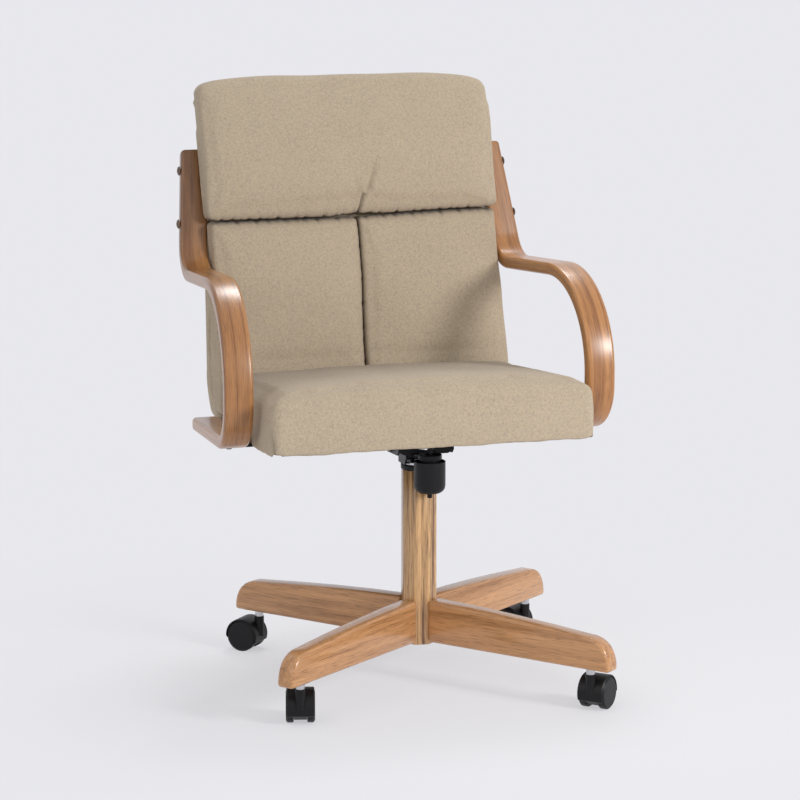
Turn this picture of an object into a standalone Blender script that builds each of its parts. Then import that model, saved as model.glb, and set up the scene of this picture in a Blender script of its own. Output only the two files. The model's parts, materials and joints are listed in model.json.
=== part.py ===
"""Swivel armchair: oak base on four twin-wheel casters, bentwood arms, fabric seat and back.

The chair faces -Y and stands on Z = 0, with the column's axis on the Z axis. Lengths are metres.
The base stays put, the seat turns on the column and tilts back on a sprung mechanism, and each
caster swivels and rolls. It is modelled as it stands in its photograph, so the base and the
casters are turned by the angles named below.
"""

import math

import bmesh
import bpy
import numpy as np
from mathutils import Vector

# Clearances
GAP = 0.0003
RUNNING_GAP = 0.0003
SOFT_GAP = 0.0006

# Casters
WHEEL_RADIUS = 0.025
WHEEL_WIDTH = 0.0117
WHEEL_SIDES = 24
HUB_DEPTH = 0.0072
WEB_WIDTH = 0.0196
HOOD_WALL = 0.0023
WHEEL_CLEARANCE = 0.0007
CASTER_TRAIL = 0.0235
AXLE_RADIUS = 0.003
STEM_RADIUS = 0.0055
STEM_NECK_RADIUS = 0.004
STEM_COLLAR_RADIUS = 0.0068
STEM_COLLAR_HEIGHT = 0.0088
STEM_DEPTH = 0.033
SOCKET_RADIUS = 0.0078
CASTER_HEIGHT = 0.0667
CASTER_TURNS = {"a": -15.7, "b": -46.8, "c": 47.0, "d": 39.9}

# Base
BASE_TURN = -142.06
STEM_CIRCLE_RADIUS = 0.313
LEG_REACH = 0.352
LEG_WIDTH = 0.029
LEG_ROOT_HEIGHT = 0.0668
LEG_TIP_HEIGHT = 0.0508
LEG_NOSE = 0.047
LEG_EDGE = 0.005
TENON_WIDTH = 0.012
TENON_HEIGHT = 0.048
TENON_DEPTH = 0.013
COLUMN_ACROSS = 0.0523
COLUMN_FOOT = 0.0625
COLUMN_TOP = 0.338
COLUMN_EDGE = 0.0012

# Swivel bearing and tilt mechanism
RING_RADIUS = 0.0283
RING_HEIGHT = 0.0087
BEARING_RADIUS = 0.0255
BEARING_HEIGHT = 0.0042
SPINDLE_RADIUS = 0.0105
SPINDLE_DEPTH = 0.070
SHOULDER_RADIUS = 0.0140
SHOULDER_HEIGHT = 0.0055
NECK_RADIUS = 0.0090
NUT_ACROSS = 0.024
NUT_HEIGHT = 0.0050
YOKE_SHEET = 0.0025
YOKE_HALF_WIDTH = 0.0284
YOKE_FRONT = 0.024
YOKE_REAR = 0.030
CHEEK_DROP = 0.0098
CHEEK_HALF_LENGTH = 0.016
EYE_RADIUS = 0.0073
PIVOT_RISE = 0.0150
PIN_RADIUS = 0.004
PIN_HEAD_RADIUS = 0.0058
PIN_HEAD_LENGTH = 0.0025
COLLAR_RADIUS = 0.0187
COLLAR_FOOT_RADIUS = 0.0163
COLLAR_HEIGHT = 0.0122
COLLAR_RIM = 0.0064
COLLAR_BORE = 0.0085
YOKE_ARM_HALF_WIDTH = 0.0115
YOKE_ARM_NARROWS = 0.029
YOKE_ARM_REAR = 0.016
PLATE_SHEET = 0.0025
PLATE_HALF_WIDTH = 0.062
PLATE_FRONT = 0.0670
PLATE_REAR = 0.046
PLATE_RISE = 0.0089
FLANGE_HALF_WIDTH = 0.045
FLANGE_DROP = 0.0080
FLANGE_CHAMFER = 0.0095
WALL_FRONT = 0.0368
WALL_NOTCH_HALF_WIDTH = 0.0128
WALL_NOTCH_TOP = 0.0010
TENSION_FORWARD = 0.0537
BOLT_RADIUS = 0.004
BOLT_HEAD_RADIUS = 0.008
BOLT_HEAD_HEIGHT = 0.0042
BOLT_TIP = 0.302
KNOB_RADIUS = 0.0243
KNOB_WALL = 0.0023
KNOB_FLOOR = 0.0065
KNOB_TOP = 0.3600
KNOB_BOTTOM = 0.3100
KNOB_ROUND = 0.012
SPRING_RADIUS = 0.0130
SPRING_WIRE = 0.0015
SPRING_TURNS = 5.0

# Seat
SEAT_RAKE = 3.0
BOARD_THICKNESS = 0.012
BOARD_IN_FROM_SEAT = 0.0325
BOARD_FRONT = 0.078
BOARD_REAR = 0.335
DUST_SHEET = 0.0009
DUST_IN_FROM_SEAT = 0.0175
DUST_FRONT = 0.089
SEAT_FRONT = 0.0955
SEAT_REAR = 0.268
SEAT_ARM_GAP = 0.0092
SEAT_TAPER = 0.050
SEAT_SWELL = 0.008
SEAT_SIDE_HEIGHT = 0.0840
SEAT_REAR_HEIGHT = 0.0790
SEAT_CROWN = 0.0180
SEAT_REAR_CROWN = 0.0070
SEAT_FRONT_LEAN = 0.0085
SEAT_ROUND = 0.016

# Arms: a flat laminated strip bent in the YZ plane
ARM_WIDTH = 0.0455
ARM_THICKNESS = 0.0202
ARM_EDGE = 0.0055
ARM_OUTSIDE = 0.3152
ARM_TOE_IN = 0.064
ARM_TOE_FROM = -0.025
ARM_LEAN = 0.088
ARM_LEAN_FROM = 0.645
ARM_TOP = (0.4076, 0.804)
ARM_UPRIGHT = 0.1606
ARM_UPRIGHT_ANGLE = -70.3
ARM_BEND_RADIUS = 0.048
ARM_REST_ANGLE = 3.6
ARM_REST = 0.1645
ARM_BOW_RADIUS = 0.158
ARM_DROP = 0.0185
ARM_TOE_RADIUS = 0.0765
ARM_RUN_ANGLE = -177.0
ARM_RUN = 0.2210
ARM_BOLT_HEIGHTS = {"upper": 0.769}
ARM_BOLT_SPACING = 0.083
ARM_BOLT_RADIUS = 0.003
ARM_BOLT_HEAD = 0.0078
ARM_BOLT_DOME = 0.0036
ARM_BOLT_REACH = 0.032

# Bars under the seat that carry the arms
BAR_THICKNESS = 0.003
BAR_WIDTH = 0.026
BAR_PLACES = {"front": 0.065, "rear": 0.200}
BAR_END_MARGIN = 0.012
SCREW_RADIUS = 0.0025
SCREW_HEAD_RADIUS = 0.0062
SCREW_HEAD_HEIGHT = 0.0026
SCREW_DEPTH = 0.015
SCREW_INSET = 0.0228

# Back
BACK_BOARD_THICKNESS = 0.018
BACK_BOARD_IN_FROM_SHELL = 0.0295
BACK_BOARD_BELOW_SHELL = 0.0140
BACK_FOOT_SLOPE = 0.125
BACK_FOOT_FRONT = 0.3140
BACK_BEND_RADIUS = 0.22
BACK_SETBACK = 0.0010
SHELL_IN_FROM_ARMS = 0.0252
SHELL_BOTTOM = 0.3670
SHELL_BELOW_PILLOW = 0.0560
SHELL_REAR = 0.4025
SHELL_REAR_LEAN = 0.235
SHELL_LEAN_FROM = 0.62
SHELL_ROUND = 0.014
PAD_IN_FROM_ARMS = 0.0239
PAD_TOP = 0.6975
PAD_SEAM_GAP = 0.0006
PAD_CROWN = 0.0110
PAD_WIDENS = 0.014
PAD_WIDENS_BELOW = 0.615
PAD_WIDENS_OVER = 0.05
PAD_CROWN_FROM = 0.475
PAD_DEPTH = 0.040
PAD_ROUND = 0.013
PILLOW_IN_FROM_ARMS = 0.0187
PILLOW_TOP = 0.9200
PILLOW_CROWN = 0.0140
PILLOW_ROUND = 0.020
FRONT_LEVELS = (0.380, 0.450, 0.490, 0.550, 0.630, 0.704, 0.794, 0.840, 0.876, 0.921)
FRONT_PLACES = (0.2700, 0.2715, 0.2810, 0.3010, 0.3230, 0.3390, 0.3560, 0.3700, 0.3880, 0.4100)
BRACKET_PLACE = 0.120
BRACKET_WIDTH = 0.030
BRACKET_SHEET = 0.003
BRACKET_FOOT = 0.034
BRACKET_HEIGHT = 0.060

# Colours: base colour, roughness, metallic
OAK = ((0.50, 0.26, 0.12, 1), 0.30, 0.0)
FABRIC = ((0.50, 0.41, 0.29, 1), 0.95, 0.0)
PLYWOOD = ((0.62, 0.46, 0.28, 1), 0.7, 0.0)
BLACK_PLASTIC = ((0.022, 0.022, 0.025, 1), 0.42, 0.0)
BLACK_STEEL = ((0.020, 0.020, 0.022, 1), 0.45, 0.6)
STEEL = ((0.60, 0.60, 0.62, 1), 0.28, 1.0)
BLACK_CLOTH = ((0.015, 0.015, 0.016, 1), 1.0, 0.0)

LEG_NAMES = ("a", "b", "d", "c")
SIDES = {"right": 1, "left": -1}

# Heights and places that follow from the sizes above
OCTAGON_RADIUS = COLUMN_ACROSS / 2 / math.cos(math.pi / 8)
HOOD_RADIUS = WHEEL_RADIUS + WHEEL_CLEARANCE + HOOD_WALL
WHEEL_INNER = WEB_WIDTH / 2 + RUNNING_GAP
WHEEL_OUTER = WHEEL_INNER + WHEEL_WIDTH
HOOD_HALF_WIDTH = WHEEL_OUTER - 0.0008
STEM_COLLAR_BOTTOM = CASTER_HEIGHT - GAP - STEM_COLLAR_HEIGHT
RING_BOTTOM = COLUMN_TOP + GAP
BEARING_BOTTOM = RING_BOTTOM + RING_HEIGHT + GAP
SHOULDER_BOTTOM = BEARING_BOTTOM + BEARING_HEIGHT + GAP
YOKE_BOTTOM = SHOULDER_BOTTOM + SHOULDER_HEIGHT + RUNNING_GAP
YOKE_TOP = YOKE_BOTTOM + YOKE_SHEET
NUT_BOTTOM = YOKE_TOP + RUNNING_GAP
PIVOT_Z = YOKE_BOTTOM + PIVOT_RISE
PLATE_TOP = PLATE_RISE + PLATE_SHEET
BOARD_BOTTOM = PLATE_TOP + GAP
DUST_BOTTOM = PLATE_TOP - DUST_SHEET
BOARD_TOP = BOARD_BOTTOM + BOARD_THICKNESS
SEAT_BOTTOM = BOARD_BOTTOM
PLATE_EDGE_GAP = 0.0015

# What lies between the arms keeps its distance from them, and the back's pieces from its top
BETWEEN_ARMS = ARM_OUTSIDE - ARM_WIDTH
SEAT_HALF_WIDTH = BETWEEN_ARMS - SEAT_ARM_GAP
BOARD_HALF_WIDTH = SEAT_HALF_WIDTH - BOARD_IN_FROM_SEAT
DUST_HALF_WIDTH = SEAT_HALF_WIDTH - DUST_IN_FROM_SEAT
SHELL_HALF_WIDTH = BETWEEN_ARMS - SHELL_IN_FROM_ARMS
BACK_BOARD_HALF_WIDTH = SHELL_HALF_WIDTH - BACK_BOARD_IN_FROM_SHELL
PAD_HALF_WIDTH = BETWEEN_ARMS - PAD_IN_FROM_ARMS
PILLOW_HALF_WIDTH = BETWEEN_ARMS - PILLOW_IN_FROM_ARMS
SHELL_TOP = PILLOW_TOP - SHELL_BELOW_PILLOW
BACK_BOARD_TOP = SHELL_TOP - BACK_BOARD_BELOW_SHELL
ARM_BOLT_HEIGHTS["lower"] = ARM_BOLT_HEIGHTS["upper"] - ARM_BOLT_SPACING


def clear_scene():
    for obj in list(bpy.data.objects):
        bpy.data.objects.remove(obj, do_unlink=True)


def material(name, finish):
    made = bpy.data.materials.get(name)
    if made:
        return made
    colour, roughness, metallic = finish
    made = bpy.data.materials.new(name)
    made.use_nodes = True
    shader = made.node_tree.nodes["Principled BSDF"]
    shader.inputs["Base Color"].default_value = colour
    shader.inputs["Roughness"].default_value = roughness
    shader.inputs["Metallic"].default_value = metallic
    made.diffuse_color = colour
    return made


def axis_empty(name, place, parent=None, turn=0.0):
    """An empty on a joint's axis, turned about Z in degrees. Its children are placed from it."""
    empty = bpy.data.objects.new(name, None)
    empty.empty_display_size = 0.03
    empty.location = place
    empty.rotation_euler = (0, 0, math.radians(turn))
    empty.parent = parent
    bpy.context.scene.collection.objects.link(empty)
    return empty


def finish_object(name, bm, finish, parent=None, smooth=True):
    """Makes the object of a bmesh, with its faces turned outwards and its own material."""
    bmesh.ops.recalc_face_normals(bm, faces=bm.faces)
    mesh = bpy.data.meshes.new(name)
    bm.to_mesh(mesh)
    bm.free()
    if smooth:
        mesh.shade_smooth()
        mesh.set_sharp_from_angle(angle=math.radians(35))
    obj = bpy.data.objects.new(name, mesh)
    bpy.context.scene.collection.objects.link(obj)
    obj.parent = parent
    if finish:
        mesh.materials.append(material(name + "_finish", finish))
    return obj


def as_helper(obj):
    obj.hide_render = True
    obj.display_type = "WIRE"
    return obj


def boolean(obj, helper, operation):
    step = obj.modifiers.new(operation.lower() + "_" + helper.name, "BOOLEAN")
    step.operation = operation
    step.solver = "EXACT"
    step.object = as_helper(helper)


def bevel(obj, width, segments=2, angle=40.0):
    step = obj.modifiers.new("rounded_edges", "BEVEL")
    step.width = width
    step.segments = segments
    step.limit_method = "ANGLE"
    step.angle_limit = math.radians(angle)
    step.harden_normals = False


def add_prism(bm, outline, axis, low, high):
    """Extrudes a closed outline along an axis. The outline's points are the other two coordinates
    in X, Y, Z order."""
    others = [i for i in range(3) if i != axis]
    corners = []
    for point in outline:
        place = [0.0, 0.0, 0.0]
        place[others[0]] = point[0]
        place[others[1]] = point[1]
        place[axis] = low
        corners.append(bm.verts.new(place))
    face = bm.faces.new(corners)
    grown = bmesh.ops.extrude_face_region(bm, geom=[face])
    moved = [item for item in grown["geom"] if isinstance(item, bmesh.types.BMVert)]
    step = Vector((0, 0, 0))
    step[axis] = high - low
    bmesh.ops.translate(bm, verts=moved, vec=step)
    return bm


def prism(name, outline, axis, low, high, finish, parent=None, smooth=False):
    bm = add_prism(bmesh.new(), outline, axis, low, high)
    return finish_object(name, bm, finish, parent, smooth)


def rectangle(x0, x1, y0, y1):
    return [(x0, y0), (x1, y0), (x1, y1), (x0, y1)]


def circle(centre, radius, sides, start=0.0):
    angles = [start + 2 * math.pi * i / sides for i in range(sides)]
    return [(centre[0] + radius * math.cos(a), centre[1] + radius * math.sin(a)) for a in angles]


def arc(centre, radius, first, last, count):
    """Points on an arc between two angles in degrees, both ends included."""
    angles = np.radians(np.linspace(first, last, count))
    return [(centre[0] + radius * math.cos(a), centre[1] + radius * math.sin(a)) for a in angles]


def turned(name, profile, sides, finish, parent=None, axis="Z", centre=(0, 0, 0), start=0.0):
    """Turns a profile of (radius, height) points about an axis through centre. The profile either
    starts and ends on the axis or closes on itself."""
    bm = bmesh.new()
    rings = []
    for radius, height in profile:
        steps = 1 if radius == 0 else sides
        ring = []
        for x, y in circle((0, 0), radius, steps, start):
            place = (height, x, y) if axis == "X" else (x, y, height)
            ring.append(bm.verts.new(Vector(centre) + Vector(place)))
        rings.append(ring)
    following = rings[1:]
    if profile[0][0] > 0:
        following = rings[1:] + rings[:1]
    for ring, other in zip(rings, following):
        for i in range(sides):
            j = (i + 1) % sides
            corners = [ring[i % len(ring)], ring[j % len(ring)],
                       other[j % len(other)], other[i % len(other)]]
            bm.faces.new(list(dict.fromkeys(corners)))
    return finish_object(name, bm, finish, parent)


def stops(half, radius, cells):
    """Places along one side of a rounded box where its grid is cut."""
    bend = radius * math.tan(math.pi / 8)
    flat = np.linspace(-half + radius, half - radius, cells + 1)
    return [-half + radius - bend, *flat, half - radius + bend]


def soft_form(name, half, radius, cells, warp, finish, parent=None, extra=()):
    """A closed padded form: a box with a grid on every side, its edges rounded to one radius, then
    every point moved by warp(x, y, z). The box is centred on zero."""
    bm = bmesh.new()
    bmesh.ops.create_cube(bm, size=2.0)
    for vert in bm.verts:
        vert.co = [side * place for side, place in zip(half, vert.co)]
    for axis in range(3):
        cuts = stops(half[axis], radius, cells[axis])
        cuts += [place for at, place in extra if at == axis]
        normal = [float(i == axis) for i in range(3)]
        for place in cuts:
            point = [place * side for side in normal]
            bmesh.ops.bisect_plane(bm, geom=bm.verts[:] + bm.edges[:] + bm.faces[:],
                                   plane_co=point, plane_no=normal, dist=1e-7)
    points = np.array([vert.co[:] for vert in bm.verts])
    core = np.clip(points, radius - np.array(half), np.array(half) - radius)
    out = points - core
    points = core + radius * out / np.linalg.norm(out, axis=1)[:, None]
    points = np.column_stack(warp(*points.T))
    for vert, point in zip(bm.verts, points):
        vert.co = point
    return finish_object(name, bm, finish, parent)


# Base


def leg_outline():
    """The leg seen from its side, as (distance from the column's axis, height)."""
    root = COLUMN_ACROSS / 2 + GAP
    bottom = CASTER_HEIGHT
    nose_start = LEG_REACH - LEG_NOSE
    outline = [(root, bottom)]
    outline.append((nose_start, bottom))
    power = 2 / 2.4
    for angle in np.radians(np.linspace(0, 90, 9)):
        x = nose_start + LEG_NOSE * math.cos(angle) ** power
        z = bottom + LEG_TIP_HEIGHT * math.sin(angle) ** power
        outline.append((x, z))
    for share in (0.75, 0.5, 0.25, 0.0):
        drop = (LEG_ROOT_HEIGHT - LEG_TIP_HEIGHT) * share ** 1.5
        x = root + (nose_start - root) * share
        outline.append((x, bottom + LEG_ROOT_HEIGHT - drop))
    return outline


def tenon_box(clearance):
    """Half width, low and high ends of a leg's tenon, grown by a clearance."""
    middle = CASTER_HEIGHT + LEG_ROOT_HEIGHT / 2
    half = TENON_WIDTH / 2 + clearance
    low = middle - TENON_HEIGHT / 2 - clearance
    high = middle + TENON_HEIGHT / 2 + clearance
    return half, low, high


def make_leg(letter, turn, base):
    hub = axis_empty("leg_" + letter + "_line", (0, 0, 0), base, turn)
    leg = prism("leg_" + letter, leg_outline(), 1, -LEG_WIDTH / 2, LEG_WIDTH / 2, OAK, hub, True)
    bevel(leg, LEG_EDGE, 3)
    half, low, high = tenon_box(0)
    inner = COLUMN_ACROSS / 2 - TENON_DEPTH
    outer = COLUMN_ACROSS / 2 + LEG_WIDTH / 2
    tenon = prism("tenon_" + letter, rectangle(-half, half, low, high), 0, inner, outer, None, hub)
    boolean(leg, tenon, "UNION")
    hole = circle((STEM_CIRCLE_RADIUS, 0), STEM_RADIUS + RUNNING_GAP, 20)
    socket = prism("socket_" + letter, hole, 2, CASTER_HEIGHT - 0.01,
                   CASTER_HEIGHT + STEM_DEPTH + GAP, None, hub)
    boolean(leg, socket, "DIFFERENCE")
    return hub


def make_column(base):
    across = circle((0, 0), OCTAGON_RADIUS, 8, math.pi / 8)
    column = prism("column", across, 2, COLUMN_FOOT, COLUMN_TOP, OAK, base)
    bevel(column, COLUMN_EDGE, 1)
    half, low, high = tenon_box(GAP)
    mortises = bmesh.new()
    inner = COLUMN_ACROSS / 2 - TENON_DEPTH - GAP
    outer = COLUMN_ACROSS
    add_prism(mortises, rectangle(-half, half, low, high), 0, inner, outer)
    add_prism(mortises, rectangle(-half, half, low, high), 0, -outer, -inner)
    add_prism(mortises, rectangle(-half, half, low, high), 1, inner, outer)
    add_prism(mortises, rectangle(-half, half, low, high), 1, -outer, -inner)
    boolean(column, finish_object("mortises", mortises, None, base, False), "DIFFERENCE")
    bore = circle((0, 0), SPINDLE_RADIUS + GAP, 24)
    bored = prism("spindle_bore", bore, 2, COLUMN_TOP - SPINDLE_DEPTH - GAP, COLUMN_TOP + 0.01,
                  None, base)
    boolean(column, bored, "DIFFERENCE")


# Casters


def hood_outline():
    """The hood seen along the axle: the fender's round, then the cut under the front and web."""
    centre = (CASTER_TRAIL, WHEEL_RADIUS)
    outline = arc(centre, HOOD_RADIUS, -5, 200, 19)
    outline.append((CASTER_TRAIL - 0.52 * WHEEL_RADIUS, 0.27 * WHEEL_RADIUS))
    outline.append((CASTER_TRAIL + 0.45 * WHEEL_RADIUS, 0.45 * WHEEL_RADIUS))
    return outline


def make_caster(letter, hub):
    stem_place = (STEM_CIRCLE_RADIUS, 0, 0)
    swivel = axis_empty("caster_" + letter + "_swivel", stem_place, hub)
    leg_turn = hub.rotation_euler[2] + math.radians(BASE_TURN)
    swivel.rotation_euler[2] = math.radians(CASTER_TURNS[letter]) - leg_turn

    top = CASTER_HEIGHT + STEM_DEPTH
    neck_bottom = STEM_COLLAR_BOTTOM - 0.010
    profile = [
        (0, neck_bottom), (STEM_NECK_RADIUS, neck_bottom),
        (STEM_NECK_RADIUS, STEM_COLLAR_BOTTOM), (STEM_COLLAR_RADIUS, STEM_COLLAR_BOTTOM),
        (STEM_COLLAR_RADIUS, CASTER_HEIGHT - GAP), (STEM_RADIUS, CASTER_HEIGHT - GAP),
        (STEM_RADIUS, top - 0.002), (STEM_RADIUS - 0.0012, top), (0, top),
    ]
    turned("caster_stem_" + letter, profile, 12, STEEL, swivel)

    hood = prism("caster_hood_" + letter, hood_outline(), 0, -HOOD_HALF_WIDTH, HOOD_HALF_WIDTH,
                 BLACK_PLASTIC, swivel, True)
    bevel(hood, 0.0016, 1, 50)
    socket_top = STEM_COLLAR_BOTTOM - RUNNING_GAP
    boss = prism("boss_" + letter, circle((0, 0), SOCKET_RADIUS, 14), 2,
                 WHEEL_RADIUS, socket_top, None, swivel)
    boolean(hood, boss, "UNION")
    pockets = bmesh.new()
    wheel_place = (CASTER_TRAIL, WHEEL_RADIUS)
    pocket = circle(wheel_place, WHEEL_RADIUS + WHEEL_CLEARANCE, 28)
    add_prism(pockets, pocket, 0, WEB_WIDTH / 2, 2 * WEB_WIDTH)
    add_prism(pockets, pocket, 0, -2 * WEB_WIDTH, -WEB_WIDTH / 2)
    boolean(hood, finish_object("pockets_" + letter, pockets, None, swivel, False), "DIFFERENCE")
    bores = bmesh.new()
    add_prism(bores, circle((0, 0), STEM_NECK_RADIUS + RUNNING_GAP, 12), 2,
              neck_bottom - RUNNING_GAP, socket_top + 0.01)
    add_prism(bores, circle(wheel_place, AXLE_RADIUS + GAP, 12), 0, -WEB_WIDTH, WEB_WIDTH)
    boolean(hood, finish_object("bores_" + letter, bores, None, swivel, False), "DIFFERENCE")

    wheel_axis = axis_empty("caster_" + letter + "_axle_line", (0, *wheel_place), swivel)
    axle_half = WHEEL_INNER + HUB_DEPTH - GAP
    bevelled = AXLE_RADIUS - 0.0005
    profile = [(0, -axle_half), (bevelled, -axle_half), (AXLE_RADIUS, -axle_half + 0.0005),
               (AXLE_RADIUS, axle_half - 0.0005), (bevelled, axle_half), (0, axle_half)]
    turned("caster_axle_" + letter, profile, 12, STEEL, wheel_axis, "X")

    rim = WHEEL_RADIUS / math.cos(math.pi / WHEEL_SIDES)
    for side, sign in SIDES.items():
        hub_end = WHEEL_INNER + HUB_DEPTH
        profile = [
            (0, hub_end), (AXLE_RADIUS + RUNNING_GAP, hub_end),
            (AXLE_RADIUS + RUNNING_GAP, WHEEL_INNER), (rim - 0.0012, WHEEL_INNER),
            (rim, WHEEL_INNER + 0.0015), (rim, WHEEL_OUTER - 0.0024),
            (rim - 0.0030, WHEEL_OUTER), (0, WHEEL_OUTER),
        ]
        profile = [(radius, sign * place) for radius, place in profile]
        turned("caster_wheel_" + letter + "_" + side, profile, WHEEL_SIDES, BLACK_PLASTIC,
               wheel_axis, "X", start=math.pi / WHEEL_SIDES)


# Swivel bearing and tilt mechanism


def make_bearing(base):
    top = RING_BOTTOM + RING_HEIGHT
    inner = SPINDLE_RADIUS + GAP
    profile = [(inner, RING_BOTTOM), (RING_RADIUS - 0.001, RING_BOTTOM),
               (RING_RADIUS, RING_BOTTOM + 0.0012), (RING_RADIUS, top - 0.0015),
               (RING_RADIUS - 0.0015, top), (inner, top)]
    turned("column_ring", profile, 24, BLACK_PLASTIC, base)
    top = BEARING_BOTTOM + BEARING_HEIGHT
    profile = [(inner, BEARING_BOTTOM), (BEARING_RADIUS, BEARING_BOTTOM),
               (BEARING_RADIUS, top - 0.001), (BEARING_RADIUS - 0.001, top), (inner, top)]
    turned("bearing_plate", profile, 24, STEEL, base)
    bottom = COLUMN_TOP - SPINDLE_DEPTH
    shoulder_top = SHOULDER_BOTTOM + SHOULDER_HEIGHT
    spindle_top = NUT_BOTTOM + NUT_HEIGHT + 0.0008
    profile = [
        (0, bottom), (SPINDLE_RADIUS, bottom), (SPINDLE_RADIUS, SHOULDER_BOTTOM),
        (SHOULDER_RADIUS, SHOULDER_BOTTOM), (SHOULDER_RADIUS, shoulder_top),
        (NECK_RADIUS, shoulder_top), (NECK_RADIUS, spindle_top), (0, spindle_top),
    ]
    turned("swivel_spindle", profile, 24, STEEL, base)
    hexagon = circle((0, 0), NUT_ACROSS / 2 / math.cos(math.pi / 6), 6)
    nut = prism("spindle_nut", hexagon, 2, NUT_BOTTOM, NUT_BOTTOM + NUT_HEIGHT, STEEL, base)
    bore = prism("nut_bore", circle((0, 0), NECK_RADIUS + GAP, 24), 2, NUT_BOTTOM - 0.01,
                 NUT_BOTTOM + 0.02, None, base)
    boolean(nut, bore, "DIFFERENCE")


def make_yoke(swivel):
    """The steel yoke that turns on the spindle: a web, two cheeks for the pivot pin, and a front
    arm with the collar that the tension spring presses on."""
    web = rectangle(-YOKE_FRONT, YOKE_REAR, YOKE_BOTTOM, YOKE_TOP)
    inset = 0.0003
    half = YOKE_HALF_WIDTH - inset
    yoke = prism("yoke", web, 0, -half, half, BLACK_STEEL, swivel)
    arm_top = YOKE_BOTTOM + COLLAR_HEIGHT - inset
    arm_bottom = arm_top - YOKE_SHEET
    foot = YOKE_BOTTOM - CHEEK_DROP
    cheek = [(-CHEEK_HALF_LENGTH, foot), (CHEEK_HALF_LENGTH, foot),
             (CHEEK_HALF_LENGTH, YOKE_TOP + inset)]
    cheek += arc((0, PIVOT_Z), EYE_RADIUS, 0, 180, 9)
    cheek += [(-CHEEK_HALF_LENGTH, arm_top + inset), (-YOKE_FRONT - inset, arm_top + inset),
              (-YOKE_FRONT - inset, arm_bottom - inset)]
    inner = YOKE_HALF_WIDTH - YOKE_SHEET
    for side, sign in SIDES.items():
        ends = sorted((sign * inner, sign * YOKE_HALF_WIDTH))
        boolean(yoke, prism("cheek_" + side, cheek, 0, *ends, None, swivel), "UNION")
    narrow = YOKE_ARM_HALF_WIDTH
    arm = [(-narrow, -TENSION_FORWARD), (narrow, -TENSION_FORWARD), (narrow, -YOKE_ARM_NARROWS),
           (half, -YOKE_FRONT), (half, -YOKE_ARM_REAR), (-half, -YOKE_ARM_REAR),
           (-half, -YOKE_FRONT), (-narrow, -YOKE_ARM_NARROWS)]
    boolean(yoke, prism("yoke_arm", arm, 2, arm_bottom, arm_top, None, swivel), "UNION")
    rim_bottom = YOKE_BOTTOM + COLLAR_HEIGHT - COLLAR_RIM
    top = YOKE_BOTTOM + COLLAR_HEIGHT
    profile = [(0, YOKE_BOTTOM), (COLLAR_FOOT_RADIUS, YOKE_BOTTOM),
               (COLLAR_FOOT_RADIUS, rim_bottom), (COLLAR_RADIUS, rim_bottom),
               (COLLAR_RADIUS, top), (0, top)]
    collar = turned("collar", profile, 20, None, swivel, centre=(0, -TENSION_FORWARD, 0))
    boolean(yoke, collar, "UNION")
    holes = bmesh.new()
    add_prism(holes, circle((0, 0), NECK_RADIUS + RUNNING_GAP, 24), 2, YOKE_BOTTOM - 0.01,
              YOKE_TOP + 0.001)
    add_prism(holes, circle((0, -TENSION_FORWARD), COLLAR_BORE, 16), 2, YOKE_BOTTOM - 0.01,
              top + 0.01)
    add_prism(holes, circle((0, PIVOT_Z), PIN_RADIUS + RUNNING_GAP, 12), 0, -2 * YOKE_HALF_WIDTH,
              2 * YOKE_HALF_WIDTH)
    boolean(yoke, finish_object("yoke_holes", holes, None, swivel, False), "DIFFERENCE")


def raked(bm):
    """Tips what is modelled level around the pivot by the seat's rake, rear end down."""
    slope = math.radians(SEAT_RAKE)
    for vert in bm.verts:
        x, y, z = vert.co
        vert.co = (x, y * math.cos(slope) + z * math.sin(slope),
                   PIVOT_Z + z * math.cos(slope) - y * math.sin(slope))
    return bm


def raked_z(y, rise):
    """World height, at a world Y, of a plane parallel to the seat and this far above the pivot."""
    slope = math.radians(SEAT_RAKE)
    return PIVOT_Z + rise / math.cos(slope) - y * math.tan(slope)


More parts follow.
